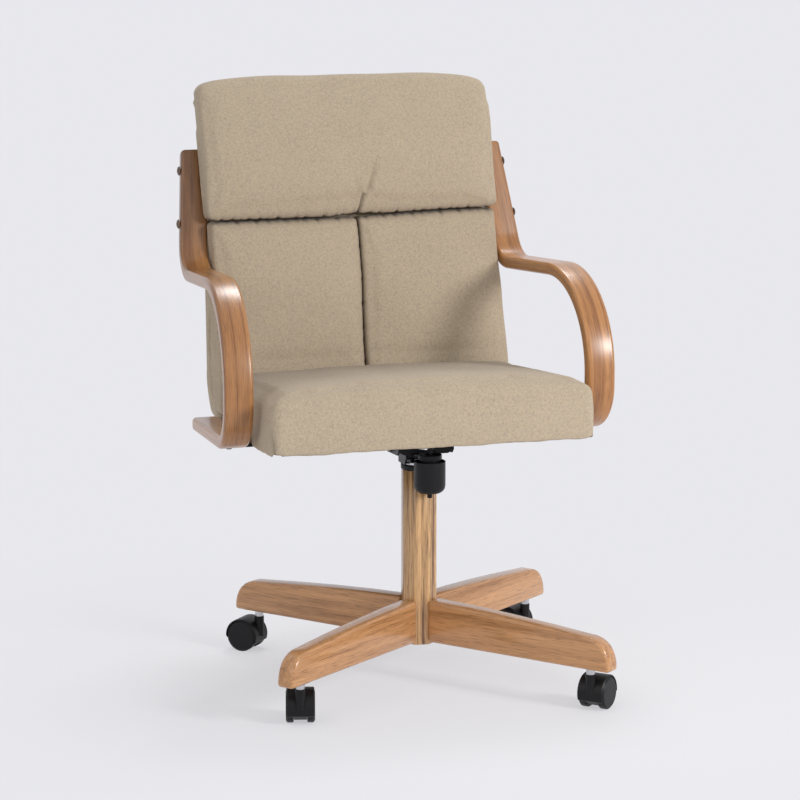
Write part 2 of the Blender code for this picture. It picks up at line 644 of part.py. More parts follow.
def make_seat_plate(tilt):
    """The pressed pan that carries the seat, in the seat's raked frame with the pivot at zero."""
    bm = bmesh.new()
    bottom = rectangle(-PLATE_FRONT, PLATE_REAR, PLATE_RISE, PLATE_TOP)
    add_prism(bm, bottom, 0, -PLATE_HALF_WIDTH, PLATE_HALF_WIDTH)
    plate = finish_object("seat_plate", raked(bm), BLACK_STEEL, tilt, False)
    sink = 0.0004
    front = -WALL_FRONT
    flange = [(front + sink, 0), (front + sink, -FLANGE_DROP + 0.006),
              (front + 0.007, -FLANGE_DROP), (0.020, -FLANGE_DROP), (PLATE_REAR - 0.004, 0.003),
              (PLATE_REAR - 0.004, PLATE_TOP - sink), (front + sink, PLATE_TOP - sink)]
    inner = FLANGE_HALF_WIDTH - PLATE_SHEET
    for side, sign in SIDES.items():
        ends = sorted((sign * inner, sign * FLANGE_HALF_WIDTH))
        bm = add_prism(bmesh.new(), flange, 0, *ends)
        boolean(plate, finish_object("flange_" + side, raked(bm), None, tilt, False), "UNION")
    wide = FLANGE_HALF_WIDTH - sink
    notch = WALL_NOTCH_HALF_WIDTH
    top = PLATE_TOP - 2 * sink
    wall = [(-wide, top), (-wide, -FLANGE_DROP + 0.0055),
            (FLANGE_CHAMFER - wide, -FLANGE_DROP + sink), (-notch, -FLANGE_DROP + sink),
            (-notch, WALL_NOTCH_TOP), (notch, WALL_NOTCH_TOP), (notch, -FLANGE_DROP + sink),
            (wide - FLANGE_CHAMFER, -FLANGE_DROP + sink), (wide, -FLANGE_DROP + 0.0055),
            (wide, top)]
    bm = add_prism(bmesh.new(), wall, 1, front, front + PLATE_SHEET)
    boolean(plate, finish_object("front_wall", raked(bm), None, tilt, False), "UNION")
    holes = bmesh.new()
    add_prism(holes, circle((0, PIVOT_Z), PIN_RADIUS + GAP, 12), 0, -2 * FLANGE_HALF_WIDTH,
              2 * FLANGE_HALF_WIDTH)
    add_prism(holes, circle((0, -TENSION_FORWARD), BOLT_RADIUS + 0.001, 12), 2, PIVOT_Z,
              PIVOT_Z + 0.03)
    boolean(plate, finish_object("plate_holes", holes, None, tilt, False), "DIFFERENCE")


def make_tilt_parts(tilt):
    head = FLANGE_HALF_WIDTH + GAP
    end = head + PIN_HEAD_LENGTH
    profile = [(0, -end), (PIN_HEAD_RADIUS, -end), (PIN_HEAD_RADIUS, -head), (PIN_RADIUS, -head),
               (PIN_RADIUS, head + 0.001), (PIN_RADIUS - 0.001, end), (0, end)]
    turned("pivot_pin", profile, 12, BLACK_STEEL, tilt, "X", (0, 0, PIVOT_Z))

    slope = math.tan(math.radians(SEAT_RAKE))
    seat = raked_z(-TENSION_FORWARD, PLATE_TOP) + BOLT_HEAD_RADIUS * slope + GAP
    top = seat + BOLT_HEAD_HEIGHT
    profile = [(0, BOLT_TIP), (BOLT_RADIUS - 0.0008, BOLT_TIP), (BOLT_RADIUS, BOLT_TIP + 0.0008),
               (BOLT_RADIUS, seat), (BOLT_HEAD_RADIUS, seat), (BOLT_HEAD_RADIUS, top - 0.001),
               (BOLT_HEAD_RADIUS - 0.001, top), (0, top)]
    place = (0, -TENSION_FORWARD, 0)
    turned("tension_bolt", profile, 12, BLACK_STEEL, tilt, centre=place)

    turn = axis_empty("tension_knob_axis", place, tilt)
    bore = BOLT_RADIUS + RUNNING_GAP
    inside = KNOB_RADIUS - KNOB_WALL
    floor = KNOB_BOTTOM + KNOB_FLOOR
    profile = [(bore, KNOB_BOTTOM)]
    profile += arc((KNOB_RADIUS - KNOB_ROUND, KNOB_BOTTOM + KNOB_ROUND), KNOB_ROUND, -90, 0, 5)
    profile += [(KNOB_RADIUS, KNOB_TOP - 0.0006), (KNOB_RADIUS - 0.0006, KNOB_TOP),
                (inside, KNOB_TOP), (inside, floor + 0.004), (inside - 0.004, floor), (bore, floor)]
    turned("tension_knob", profile, 24, BLACK_PLASTIC, turn)
    make_spring(tilt, floor, place)


def make_spring(tilt, floor, place):
    """The coil spring between the knob's floor and the yoke's collar: a helix of constant pitch."""
    low = floor + SPRING_WIRE + GAP
    high = YOKE_BOTTOM - SPRING_WIRE - GAP
    count = int(SPRING_TURNS * 12) + 1
    curve = bpy.data.curves.new("tension_spring", "CURVE")
    curve.dimensions = "3D"
    curve.bevel_depth = SPRING_WIRE
    curve.bevel_resolution = 0
    curve.use_fill_caps = True
    line = curve.splines.new("POLY")
    line.points.add(count - 1)
    for i, point in enumerate(line.points):
        share = i / (count - 1)
        angle = 2 * math.pi * SPRING_TURNS * share
        point.co = (SPRING_RADIUS * math.cos(angle), SPRING_RADIUS * math.sin(angle),
                    low + (high - low) * share, 1)
    spring = bpy.data.objects.new("tension_spring", curve)
    spring.location = place
    spring.parent = tilt
    curve.materials.append(material("tension_spring_finish", STEEL))
    bpy.context.scene.collection.objects.link(spring)


# Seat


def make_seat_board(tilt):
    outline = rectangle(-BOARD_FRONT, BOARD_REAR, BOARD_BOTTOM, BOARD_TOP)
    bm = add_prism(bmesh.new(), outline, 0, -BOARD_HALF_WIDTH, BOARD_HALF_WIDTH)
    board = finish_object("seat_board", raked(bm), PLYWOOD, tilt, False)
    hole = circle((0, -TENSION_FORWARD), BOLT_HEAD_RADIUS + 0.002, 12)
    bored = prism("bolt_head_hole", hole, 2, PIVOT_Z, PIVOT_Z + 0.06, None, tilt)
    boolean(board, bored, "DIFFERENCE")


def make_dust_cover(tilt):
    outline = rectangle(-DUST_FRONT, BOARD_REAR - 0.002, DUST_BOTTOM, PLATE_TOP)
    bm = add_prism(bmesh.new(), outline, 0, -DUST_HALF_WIDTH, DUST_HALF_WIDTH)
    cover = finish_object("dust_cover", raked(bm), BLACK_CLOTH, tilt, False)
    opening = rectangle(-PLATE_FRONT - PLATE_EDGE_GAP, PLATE_REAR + PLATE_EDGE_GAP,
                        DUST_BOTTOM - 0.01, DUST_BOTTOM + 0.01)
    half = PLATE_HALF_WIDTH + PLATE_EDGE_GAP
    bm = add_prism(bmesh.new(), opening, 0, -half, half)
    boolean(cover, finish_object("plate_opening", raked(bm), None, tilt, False), "DIFFERENCE")


def seat_cushion_warp(half):
    """Returns the move that turns the rounded box into the seat: sides that swell a little, a
    crown across the top that fades to the rear, and a front that leans back."""
    deep = SEAT_REAR + SEAT_FRONT

    def warp(x, y, z):
        across = np.clip(np.abs(x) / half[0], 0, 1)
        along = np.clip((y + half[1]) / deep, 0, 1)
        up = np.clip((z + half[2]) / (2 * half[2]), 0, 1)
        side = SEAT_SIDE_HEIGHT + (SEAT_REAR_HEIGHT - SEAT_SIDE_HEIGHT) * along
        crown = SEAT_CROWN + (SEAT_REAR_CROWN - SEAT_CROWN) * along
        front_roll = 1 - 0.45 * np.exp(-along / 0.05)
        height = side + crown * front_roll * (1 - across ** 2.6)
        swell = 1 + SEAT_SWELL * np.sin(np.pi * up) - SEAT_TAPER * along
        new_y = y + half[1] - SEAT_FRONT + SEAT_FRONT_LEAN * up * (1 - along)
        puff = 0.004 * np.sin(np.pi * up) * (1 - across ** 3) * np.exp(-along / 0.02)
        new_y = new_y - puff
        return x * swell, new_y, raked_z(new_y, SEAT_BOTTOM) + height * up

    return warp


def make_seat_cushion(tilt):
    half = (SEAT_HALF_WIDTH, (SEAT_REAR + SEAT_FRONT) / 2, SEAT_SIDE_HEIGHT / 2)
    cushion = soft_form("seat_cushion", half, SEAT_ROUND, (10, 8, 2), seat_cushion_warp(half),
                        FABRIC, tilt)
    outline = rectangle(-BOARD_FRONT - GAP, BOARD_REAR, BOARD_BOTTOM - 0.02, BOARD_TOP + GAP)
    bm = add_prism(bmesh.new(), outline, 0, -BOARD_HALF_WIDTH - GAP, BOARD_HALF_WIDTH + GAP)
    boolean(cushion, finish_object("board_pocket", raked(bm), None, tilt, False), "DIFFERENCE")


# Arms


def arm_path():
    """The strip's outer surface in the YZ plane, from its top behind the back to its end beside
    the seat: straight upright, bend, straight rest, bow, short drop, tighter toe and straight run.
    Each entry is (y, z, heading), where a heading of 0 runs forwards and -90 runs down."""
    y, z = ARM_TOP
    heading = ARM_UPRIGHT_ANGLE
    path = []

    def straight(length, pieces):
        nonlocal y, z
        angle = math.radians(heading)
        for i in range(pieces):
            path.append((y, z, heading))
            y -= length / pieces * math.cos(angle)
            z += length / pieces * math.sin(angle)

    def bend(radius, to_heading, pieces):
        nonlocal y, z, heading
        side = 1 if to_heading > heading else -1
        start = heading
        angle = math.radians(start)
        centre_y = y + side * radius * math.sin(angle)
        centre_z = z + side * radius * math.cos(angle)
        for i in range(pieces):
            turn = start + (to_heading - start) * i / pieces
            angle = math.radians(turn)
            path.append((centre_y - side * radius * math.sin(angle),
                         centre_z - side * radius * math.cos(angle), turn))
        heading = to_heading
        angle = math.radians(heading)
        y = centre_y - side * radius * math.sin(angle)
        z = centre_z - side * radius * math.cos(angle)

    straight(ARM_UPRIGHT, 2)
    bend(ARM_BEND_RADIUS, ARM_REST_ANGLE, 6)
    straight(ARM_REST, 1)
    bend(ARM_BOW_RADIUS, -90, 11)
    straight(ARM_DROP, 1)
    bend(ARM_TOE_RADIUS, ARM_RUN_ANGLE, 8)
    straight(ARM_RUN, 1)
    path.append((y, z, heading))
    return path


def arm_outside(y, z):
    """How far from the middle the strip's outer edge lies at a place along the arm."""
    above = z - ARM_LEAN_FROM
    lean = 0.5 * (above + math.hypot(above, 0.010))
    return ARM_OUTSIDE - ARM_TOE_IN * (y - ARM_TOE_FROM) - ARM_LEAN * lean


def arm_section():
    """The strip's section as (across from the outer edge, in from the outer surface)."""
    bend = ARM_EDGE * (1 - math.sqrt(0.5))
    w, t, e = ARM_WIDTH, ARM_THICKNESS, ARM_EDGE
    return [(e, 0), (w - e, 0), (w - bend, bend), (w, e), (w, t - e), (w - bend, t - bend),
            (w - e, t), (e, t), (bend, t - bend), (0, t - e), (0, e), (bend, bend)]


def make_arm(side, sign, tilt):
    bm = bmesh.new()
    rings = []
    for y, z, heading in arm_path():
        angle = math.radians(heading)
        inward = (-math.sin(angle), -math.cos(angle))
        ring = []
        for across, deep in arm_section():
            py = y + inward[0] * deep
            pz = z + inward[1] * deep
            ring.append(bm.verts.new((sign * (arm_outside(py, pz) - across), py, pz)))
        rings.append(ring)
    count = len(rings[0])
    for ring, following in zip(rings[:-1], rings[1:]):
        for i in range(count):
            j = (i + 1) % count
            bm.faces.new((ring[i], ring[j], following[j], following[i]))
    bm.faces.new(rings[0])
    bm.faces.new(rings[-1])
    arm = finish_object("arm_" + side, bm, OAK, tilt)
    bmesh_holes = bmesh.new()
    for height in ARM_BOLT_HEIGHTS.values():
        y, x = arm_bolt_place(height)
        ends = sorted((sign * (x - ARM_WIDTH - 0.02), sign * (x + 0.02)))
        add_prism(bmesh_holes, circle((y, height), ARM_BOLT_RADIUS + GAP, 12), 0, *ends)
    for place in BAR_PLACES.values():
        x = sign * (arm_outside(place, CASTER_HEIGHT) - SCREW_INSET)
        low = run_underside(place) - 0.01
        add_prism(bmesh_holes, circle((x, place), SCREW_RADIUS + GAP, 12), 2, low,
                  low + 0.01 + SCREW_DEPTH + 2 * GAP)
    boolean(arm, finish_object("arm_holes_" + side, bmesh_holes, None, tilt, False), "DIFFERENCE")
    boolean(arm, bar_grooves(side, sign, tilt), "DIFFERENCE")


def bar_top(place):
    """Height of a bar's top at its middle, just below the seat's lining."""
    return raked_z(place, DUST_BOTTOM) - GAP


def bar_grooves(side, sign, tilt):
    """Cutters for the grooves across an arm's underside that the bars lie in."""
    slope = math.tan(math.radians(SEAT_RAKE))
    grooves = bmesh.new()
    for place in BAR_PLACES.values():
        reach = arm_outside(place, CASTER_HEIGHT)
        ends = sorted((sign * (reach - ARM_WIDTH - 0.01), sign * (reach - BAR_END_MARGIN + GAP)))
        half = BAR_WIDTH / 2 + GAP
        top, low = bar_top(place) + GAP, run_underside(place) - 0.02
        outline = [(place - half, low), (place + half, low), (place + half, top - half * slope),
                   (place - half, top + half * slope)]
        add_prism(grooves, outline, 0, *ends)
    return finish_object("bar_grooves_" + side, grooves, None, tilt, False)


def upright_front(z):
    """Y of the strip's front surface at a height on its straight upright."""
    angle = math.radians(ARM_UPRIGHT_ANGLE)
    return ARM_TOP[0] - (ARM_TOP[1] - z) / math.tan(-angle)


def arm_bolt_place(z):
    """(y, outer edge x) of an arm bolt at a height: it runs through the middle of the strip."""
    half = ARM_THICKNESS / 2
    y = upright_front(z) + half / math.sin(math.radians(-ARM_UPRIGHT_ANGLE))
    return y, arm_outside(y, z)


def run_underside(y):
    """Height of the underside of the arm's straight run at a Y."""
    end_y, end_z, heading = arm_path()[-1]
    return end_z + (end_y - y) * math.tan(math.radians(180 + heading))


def arm_inside(z):
    """How far from the middle the strip's inner edge lies on the upright, at its rear surface."""
    level = max(z, ARM_LEAN_FROM - 0.03)
    rear = upright_front(level) + ARM_THICKNESS / math.sin(math.radians(-ARM_UPRIGHT_ANGLE))
    return arm_outside(rear, level) - ARM_WIDTH


def make_arm_bolts(side, sign, tilt):
    for name, z in ARM_BOLT_HEIGHTS.items():
        y, x = arm_bolt_place(z)
        slant = ARM_BOLT_HEAD * (ARM_TOE_IN + ARM_LEAN)
        head = x + slant + GAP
        tip = x - ARM_WIDTH - ARM_BOLT_REACH
        profile = [(0, tip), (ARM_BOLT_RADIUS, tip), (ARM_BOLT_RADIUS, head), (ARM_BOLT_HEAD, head)]
        for share in (0.35, 0.7):
            profile.append((ARM_BOLT_HEAD * math.cos(share * math.pi / 2),
                            head + ARM_BOLT_DOME * math.sin(share * math.pi / 2)))
        profile.append((0, head + ARM_BOLT_DOME))
        profile = [(radius, sign * place) for radius, place in profile]
        turned("arm_bolt_" + side + "_" + name, profile, 12, BLACK_STEEL, tilt, "X", (0, y, z))


def make_arm_bars(tilt):
    """Flat steel bars across the seat's underside, let into the arms' undersides, with a screw up
    into each arm."""
    slope = math.tan(math.radians(SEAT_RAKE))
    for name, place in BAR_PLACES.items():
        reach = arm_outside(place, CASTER_HEIGHT)
        top = bar_top(place)
        bottom = top - BAR_THICKNESS
        half = reach - BAR_END_MARGIN
        outline = rectangle(-half, half, bottom, top)
        bm = add_prism(bmesh.new(), outline, 1, place - BAR_WIDTH / 2, place + BAR_WIDTH / 2)
        for vert in bm.verts:
            vert.co.z -= (vert.co.y - place) * slope
        bar = finish_object("arm_bar_" + name, bm, BLACK_STEEL, tilt, False)
        holes = bmesh.new()
        for side, sign in SIDES.items():
            x = sign * (reach - SCREW_INSET)
            add_prism(holes, circle((x, place), SCREW_RADIUS + GAP, 12), 2, top - 0.02, top + 0.02)
            head = bottom - SCREW_HEAD_RADIUS * slope - GAP
            foot = head - SCREW_HEAD_HEIGHT
            tip = run_underside(place) + SCREW_DEPTH
            profile = [(0, foot), (SCREW_HEAD_RADIUS * 0.6, foot),
                       (SCREW_HEAD_RADIUS, head - 0.001), (SCREW_HEAD_RADIUS, head),
                       (SCREW_RADIUS, head), (SCREW_RADIUS, tip - 0.002), (0, tip)]
            turned("arm_screw_" + side + "_" + name, profile, 12, BLACK_STEEL, tilt,
                   centre=(x, place, 0))
        boolean(bar, finish_object("bar_holes_" + name, holes, None, tilt, False), "DIFFERENCE")


# Back


def back_line(z):
    """Y of the back board's front face: steep from the seat up, then parallel to the arms'
    uprights, with a soft bend between."""
    z = np.asarray(z, dtype=float)
    lean = 1 / math.tan(math.radians(-ARM_UPRIGHT_ANGLE))
    upper = upright_front(z) - BACK_SETBACK
    foot = raked_z(BACK_FOOT_FRONT, BOARD_TOP)
    lower = BACK_FOOT_FRONT + BACK_FOOT_SLOPE * (z - foot)
    soft = BACK_BEND_RADIUS * (lean - BACK_FOOT_SLOPE) / 4
    return 0.5 * (upper + lower + np.sqrt((upper - lower) ** 2 + soft ** 2))


def shell_rear(z):
    """Y of the back's rear surface: upright behind the seat, leaning back above."""
    above = z - SHELL_LEAN_FROM
    lean = 0.5 * (above + np.sqrt(above ** 2 + 0.06 ** 2))
    under = np.clip((0.45 - z) / 0.08, 0, 1)
    return SHELL_REAR + SHELL_REAR_LEAN * lean - 0.045 * under ** 2


def board_foot():
    """Height of the back board's foot, just clear of the seat board's raked top."""
    return raked_z(BACK_FOOT_FRONT, BOARD_TOP) + GAP


def board_levels():
    return np.linspace(board_foot(), BACK_BOARD_TOP, 14)


def make_back_board(tilt):
    levels = board_levels()
    front = [(float(back_line(z)), z) for z in levels]
    rear = [(float(back_line(z)) + BACK_BOARD_THICKNESS, z) for z in levels[::-1]]
    board = prism("back_board", front + rear, 0, -BACK_BOARD_HALF_WIDTH, BACK_BOARD_HALF_WIDTH,
                  PLYWOOD, tilt)
    boolean(board, bolt_holes("board_bolt_holes", tilt), "DIFFERENCE")


def bolt_holes(name, tilt):
    """Cutters for the arm bolts, through whatever lies inside the arms."""
    holes = bmesh.new()
    for z in ARM_BOLT_HEIGHTS.values():
        y, x = arm_bolt_place(z)
        tip = x - ARM_WIDTH - ARM_BOLT_REACH - GAP
        for sign in SIDES.values():
            ends = sorted((sign * tip, sign * (x + 0.02)))
            add_prism(holes, circle((y, z), ARM_BOLT_RADIUS + GAP, 12), 0, *ends)
    return finish_object(name, holes, None, tilt, False)


def make_back_shell(tilt):
    """The padded outer back: it wraps the board's rear and sides and tucks in under the seat."""
    half = (SHELL_HALF_WIDTH, 0.030, (SHELL_TOP - SHELL_BOTTOM) / 2)
    middle = (SHELL_TOP + SHELL_BOTTOM) / 2

    def warp(x, y, z):
        level = z + middle
        share = (y + half[1]) / (2 * half[1])
        front = back_line(level)
        rear = shell_rear(level)
        across = np.abs(x) / half[0]
        crown = 0.006 * (1 - across ** 3) * np.sin(np.pi * np.clip(z / half[2] / 2 + 0.5, 0, 1))
        inner = np.array([arm_inside(height) for height in level]) - SOFT_GAP
        narrow = np.minimum(half[0], inner)
        return x * narrow / half[0], front + (rear + crown - front) * share, level

    shell = soft_form("back_shell", half, SHELL_ROUND, (8, 2, 10), warp, FABRIC, tilt)
    levels = np.array([board_foot() - 0.03, *board_levels(), BACK_BOARD_TOP + SOFT_GAP])
    front = [(float(back_line(z)) - 0.02, z) for z in levels]
    rear = [(float(back_line(z)) + BACK_BOARD_THICKNESS + SOFT_GAP, z) for z in levels[::-1]]
    wide = BACK_BOARD_HALF_WIDTH + GAP
    pocket = prism("back_board_pocket", front + rear, 0, -wide, wide, None, tilt)
    boolean(shell, pocket, "DIFFERENCE")
    outline = rectangle(-BOARD_FRONT, BOARD_REAR + GAP, BOARD_BOTTOM - 0.05, BOARD_TOP + GAP)
    bm = add_prism(bmesh.new(), outline, 0, -2 * BOARD_HALF_WIDTH, 2 * BOARD_HALF_WIDTH)
    boolean(shell, finish_object("seat_board_pocket", raked(bm), None, tilt, False), "DIFFERENCE")
    boolean(shell, bolt_holes("shell_bolt_holes", tilt), "DIFFERENCE")


def back_front(z):
    """Y of the back's front face at its side edges, from the seat up to the top roll."""
    z = np.asarray(z, dtype=float)
    return np.interp(z, FRONT_LEVELS, FRONT_PLACES)


def make_back_pads(tilt):
    """The two lower panels, side by side with the vertical seam between them."""
    bottom = raked_z(SEAT_REAR, BOARD_TOP) + BRACKET_SHEET + 2 * GAP
    half = ((PAD_HALF_WIDTH - PAD_SEAM_GAP) / 2, PAD_DEPTH / 2, (PAD_TOP - bottom) / 2)
    middle = (PAD_TOP + bottom) / 2
    for side, sign in SIDES.items():

        def warp(x, y, z):
            level = z + middle
            share = (y + half[1]) / (2 * half[1])
            across = np.abs(x) / half[0]
            high = np.clip((level - PAD_CROWN_FROM) / (PAD_TOP - PAD_CROWN_FROM), 0, 1)
            crown = PAD_CROWN * (1 - across ** 2.4) * np.sin(np.pi * high ** 0.8)
            front = back_front(level) - crown
            rear = back_line(level) - SOFT_GAP
            centre = PAD_SEAM_GAP / 2 + half[0]
            below = np.clip((PAD_WIDENS_BELOW - level) / PAD_WIDENS_OVER, 0, 1)
            widen = 1 + PAD_WIDENS * below
            return sign * (x + centre) * widen, front + (rear - front) * share, level

        name = "back_pad_" + side
        pad = soft_form(name, half, PAD_ROUND, (5, 1, 9), warp, FABRIC, tilt)
        boolean(pad, bracket_helper("bracket_room_" + side, sign, GAP, tilt), "DIFFERENCE")


def make_pillow(tilt):
    """The upper pillow: it rolls over the seam below it and wraps over the top of the back."""
    bottom = PAD_TOP + GAP
    half = (PILLOW_HALF_WIDTH, 0.030, (PILLOW_TOP - bottom) / 2)
    middle = (PILLOW_TOP + bottom) / 2
    step_low = SHELL_TOP + SOFT_GAP
    step_high = step_low + 0.016

    def warp(x, y, z):
        level = z + middle
        share = (y + half[1]) / (2 * half[1])
        across = np.abs(x) / half[0]
        up = np.clip((level - bottom) / (PILLOW_TOP - bottom), 0, 1)
        crown = PILLOW_CROWN * (1 - across ** 2.6) * np.sin(np.pi * up ** 0.7)
        front = back_front(level) - crown
        reach = np.clip((level - step_low) / (step_high - step_low), 0, 1)
        inner = back_line(level) - SOFT_GAP
        rear = inner + (shell_rear(level) - inner) * reach
        over = np.clip((level - step_low) / (PILLOW_TOP - step_low), 0, 1)
        narrow = 1 - 0.003 * (1 - up) - 0.040 * share ** 1.5 * np.clip(2 * over, 0, 1)
        fall = (0.013 * share ** 2 + 0.005 * across ** 3) * over
        return x * narrow, front + (rear - front) * share, level - fall

    extra = [(2, step_low - middle), (2, step_high - middle)]
    soft_form("back_pillow", half, PILLOW_ROUND, (10, 2, 7), warp, FABRIC, tilt, extra)


def bracket_outline(clearance):
    """The steel angle between the seat board and the back board, seen from the side."""
    foot = raked_z(BACK_FOOT_FRONT, BOARD_TOP) + GAP
    corner = BACK_FOOT_FRONT - GAP
    tip = corner - BRACKET_FOOT
    rise = BRACKET_FOOT * math.tan(math.radians(SEAT_RAKE))
    top = foot + BRACKET_HEIGHT
    lean = BACK_FOOT_SLOPE * BRACKET_HEIGHT
    inner = corner - BRACKET_SHEET - clearance
    c = clearance
    return [(corner + c, foot - c), (corner + lean + c, top + c),
            (inner + lean, top + c), (inner, foot + BRACKET_SHEET + c),
            (tip - c, foot + rise + BRACKET_SHEET + c), (tip - c, foot + rise - c)]


def bracket_helper(name, sign, clearance, tilt):
    near = BRACKET_PLACE - BRACKET_WIDTH / 2 - clearance
    far = BRACKET_PLACE + BRACKET_WIDTH / 2 + clearance
    ends = sorted((sign * near, sign * far))
    return prism(name, bracket_outline(clearance), 0, *ends, None, tilt)


def make_back_brackets(tilt):
    for side, sign in SIDES.items():
        bracket = bracket_helper("back_bracket_" + side, sign, 0, tilt)
        bracket.data.materials.append(material("back_bracket_" + side + "_finish", STEEL))


def build():
    clear_scene()
    base = axis_empty("base", (0, 0, 0), None, BASE_TURN)
    swivel = axis_empty("swivel_axis", (0, 0, 0))
    tilt = axis_empty("tilt_axis", (0, 0, 0), swivel)
    make_column(base)
    for index, letter in enumerate(LEG_NAMES):
        make_caster(letter, make_leg(letter, 90 * index, base))
    make_bearing(base)
    make_yoke(swivel)
    make_seat_plate(tilt)
    make_tilt_parts(tilt)
    make_seat_board(tilt)
    make_dust_cover(tilt)
    make_seat_cushion(tilt)
    for side, sign in SIDES.items():
        make_arm(side, sign, tilt)
        make_arm_bolts(side, sign, tilt)
    make_arm_bars(tilt)
    make_back_board(tilt)
    make_back_shell(tilt)
    make_back_pads(tilt)
    make_pillow(tilt)
    make_back_brackets(tilt)


build()
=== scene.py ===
"""Swivel armchair, dressed: padded fabric seat and back, bent oak arms, oak pedestal on casters.

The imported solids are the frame. This file finishes them, replaces the cushions and the bent arms
with finer pieces, and sets the floor, the lights and the camera. Lengths are metres, -Y is the
way the seat faces and Z is up.
"""

import json
import math

import bpy
import numpy as np
from bpy.props import FloatProperty, FloatVectorProperty, PointerProperty
from mathutils import Matrix, Vector


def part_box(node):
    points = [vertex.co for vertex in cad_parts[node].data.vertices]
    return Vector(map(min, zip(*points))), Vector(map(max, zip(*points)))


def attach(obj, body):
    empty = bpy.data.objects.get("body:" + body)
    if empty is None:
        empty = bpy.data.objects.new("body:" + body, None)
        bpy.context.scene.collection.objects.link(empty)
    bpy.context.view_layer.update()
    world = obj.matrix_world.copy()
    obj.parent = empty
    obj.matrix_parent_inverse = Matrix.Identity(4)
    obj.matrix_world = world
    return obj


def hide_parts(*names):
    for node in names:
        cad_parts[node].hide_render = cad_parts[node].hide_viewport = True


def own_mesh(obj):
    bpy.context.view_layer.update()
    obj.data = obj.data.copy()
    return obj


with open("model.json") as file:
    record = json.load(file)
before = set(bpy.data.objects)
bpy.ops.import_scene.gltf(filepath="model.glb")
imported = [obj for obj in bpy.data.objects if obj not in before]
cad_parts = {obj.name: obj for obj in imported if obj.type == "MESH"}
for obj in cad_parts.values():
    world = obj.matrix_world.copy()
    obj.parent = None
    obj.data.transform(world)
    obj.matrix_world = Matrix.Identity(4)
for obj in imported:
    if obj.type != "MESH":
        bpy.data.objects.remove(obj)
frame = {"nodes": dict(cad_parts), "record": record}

bl_info = {
    "name": "Swivel armchair",
    "version": (1, 0, 0),
    "blender": (4, 5, 0),
    "location": "3D View > Sidebar > Chair",
    "description": "Makes the cushions, bent arms, finishes and studio of a swivel armchair",
    "category": "Object",
}

SIDES = {"right": 1, "left": -1}

# Shared with the solids: the tilt's pivot, the seat's rake in degrees, the seat board's faces above
# the pivot, and the back's cross seam
PIVOT_Z = 0.3726
SEAT_RAKE = 3.0
BOARD_BOTTOM = 0.0117
BOARD_TOP = 0.0237
SEAM = 0.6975

# The seat's reach before and behind the column, half sizes of the plain box that it is shaped from,
# and the share of its width that it loses to the rear
SEAT_FRONT = 0.0955
SEAT_REAR = 0.268
SEAT_BOX = (0.2605, (SEAT_REAR + SEAT_FRONT) / 2, 0.042)
SEAT_TAPER = 0.050

# Half widths and ends of the back's cushions, and the upper end of the board behind them
PANEL_HALF_WIDTH = 0.1226
PILLOW_HALF_WIDTH = 0.251
PILLOW_TOP = 0.920
SHELL_HALF_WIDTH = 0.2445
SHELL_BOTTOM = 0.367
SHELL_TOP = 0.864
BOARD_END = 0.8646

# Half of the gap at a seam, a cover's distance from the board or arm beside it, the panels' gap
# above the seat board, and the depth of the layer that stays when a cushion swells
SEAM_GAP = 0.0003
CLEAR = 0.0006
PANEL_LIFT = 0.0036
HELD_DEPTH = 0.010

# The bent arms: Y and Z of the strip's upper end, the headings in degrees and the lengths of its
# four straight runs from there, the radii of the bends between them, the section, and the height
# of the armrest's underside
ARM_TOP = (0.4076, 0.804)
ARM_ANGLE = -70.3
ARM_HEADINGS = (ARM_ANGLE, 3.6, -90.0, -177.0)
ARM_LENGTHS = (0.1606, 0.1645, 0.0185, 0.2210)
ARM_RADII = (0.048, 0.158, 0.0765)
ARM_WIDTH = 0.0455
ARM_THICKNESS = 0.0202
ARM_REST = 0.615

# The cushions' cloth while it swells, and for how many frames
CLOTH = {"quality": 4, "mass": 0.3, "tension_stiffness": 12, "compression_stiffness": 12,
         "shear_stiffness": 4, "bending_stiffness": 0.6, "shrink_min": -0.012,
         "vertex_group_mass": "held", "use_pressure": True}
FRAMES = 20

# Leg A's heading in degrees, and the order of the legs, at right angles from there
LEG_HEADING = -142.06
LEG_ORDER = "abdc"


# Settings


def colour_setting(name, description, default):
    return FloatVectorProperty(name=name, description=description, subtype="COLOR", size=3,
                               min=0, max=1, default=default)


def length_setting(name, description, default, low, high):
    return FloatProperty(name=name, description=description, default=default, min=low, max=high,
                         precision=4, unit="LENGTH")


def power_setting(name, description, default):
    return FloatProperty(name=name, description=description, default=default, min=0, max=500,
                         unit="POWER")


class ChairClothSettings(bpy.types.PropertyGroup):
    colour: colour_setting("Cloth", "Colour of the woven cover", (0.498, 0.408, 0.300))
    dark: colour_setting("Dark thread", "Colour between the cover's threads", (0.390, 0.315, 0.226))
    thread: length_setting("Thread", "Distance between threads", 0.0011, 0.0002, 0.005)
    step: length_setting("Mesh step", "Size of the cushions' faces", 0.0056, 0.002, 0.02)


class ChairWoodSettings(bpy.types.PropertyGroup):
    arm_light: colour_setting("Arms, light", "Early wood in the arms", (0.490, 0.222, 0.074))
    arm_dark: colour_setting("Arms, dark", "Late wood in the arms", (0.285, 0.112, 0.034))
    leg_light: colour_setting("Legs, light", "Early wood in the legs", (0.618, 0.314, 0.134))
    leg_dark: colour_setting("Legs, dark", "Late wood in the legs", (0.360, 0.164, 0.062))
    column_light: colour_setting("Column, light", "Early wood in the column", (0.700, 0.415, 0.190))
    column_dark: colour_setting("Column, dark", "Late wood in the column", (0.175, 0.082, 0.034))
    roughness: FloatProperty(
        name="Lacquer", description="Roughness of the clear lacquer", default=0.27,
        min=0, max=1, subtype="FACTOR")
    edge: length_setting("Edge radius", "Rounding along the bent arms' edges", 0.0055, 0.001, 0.009)


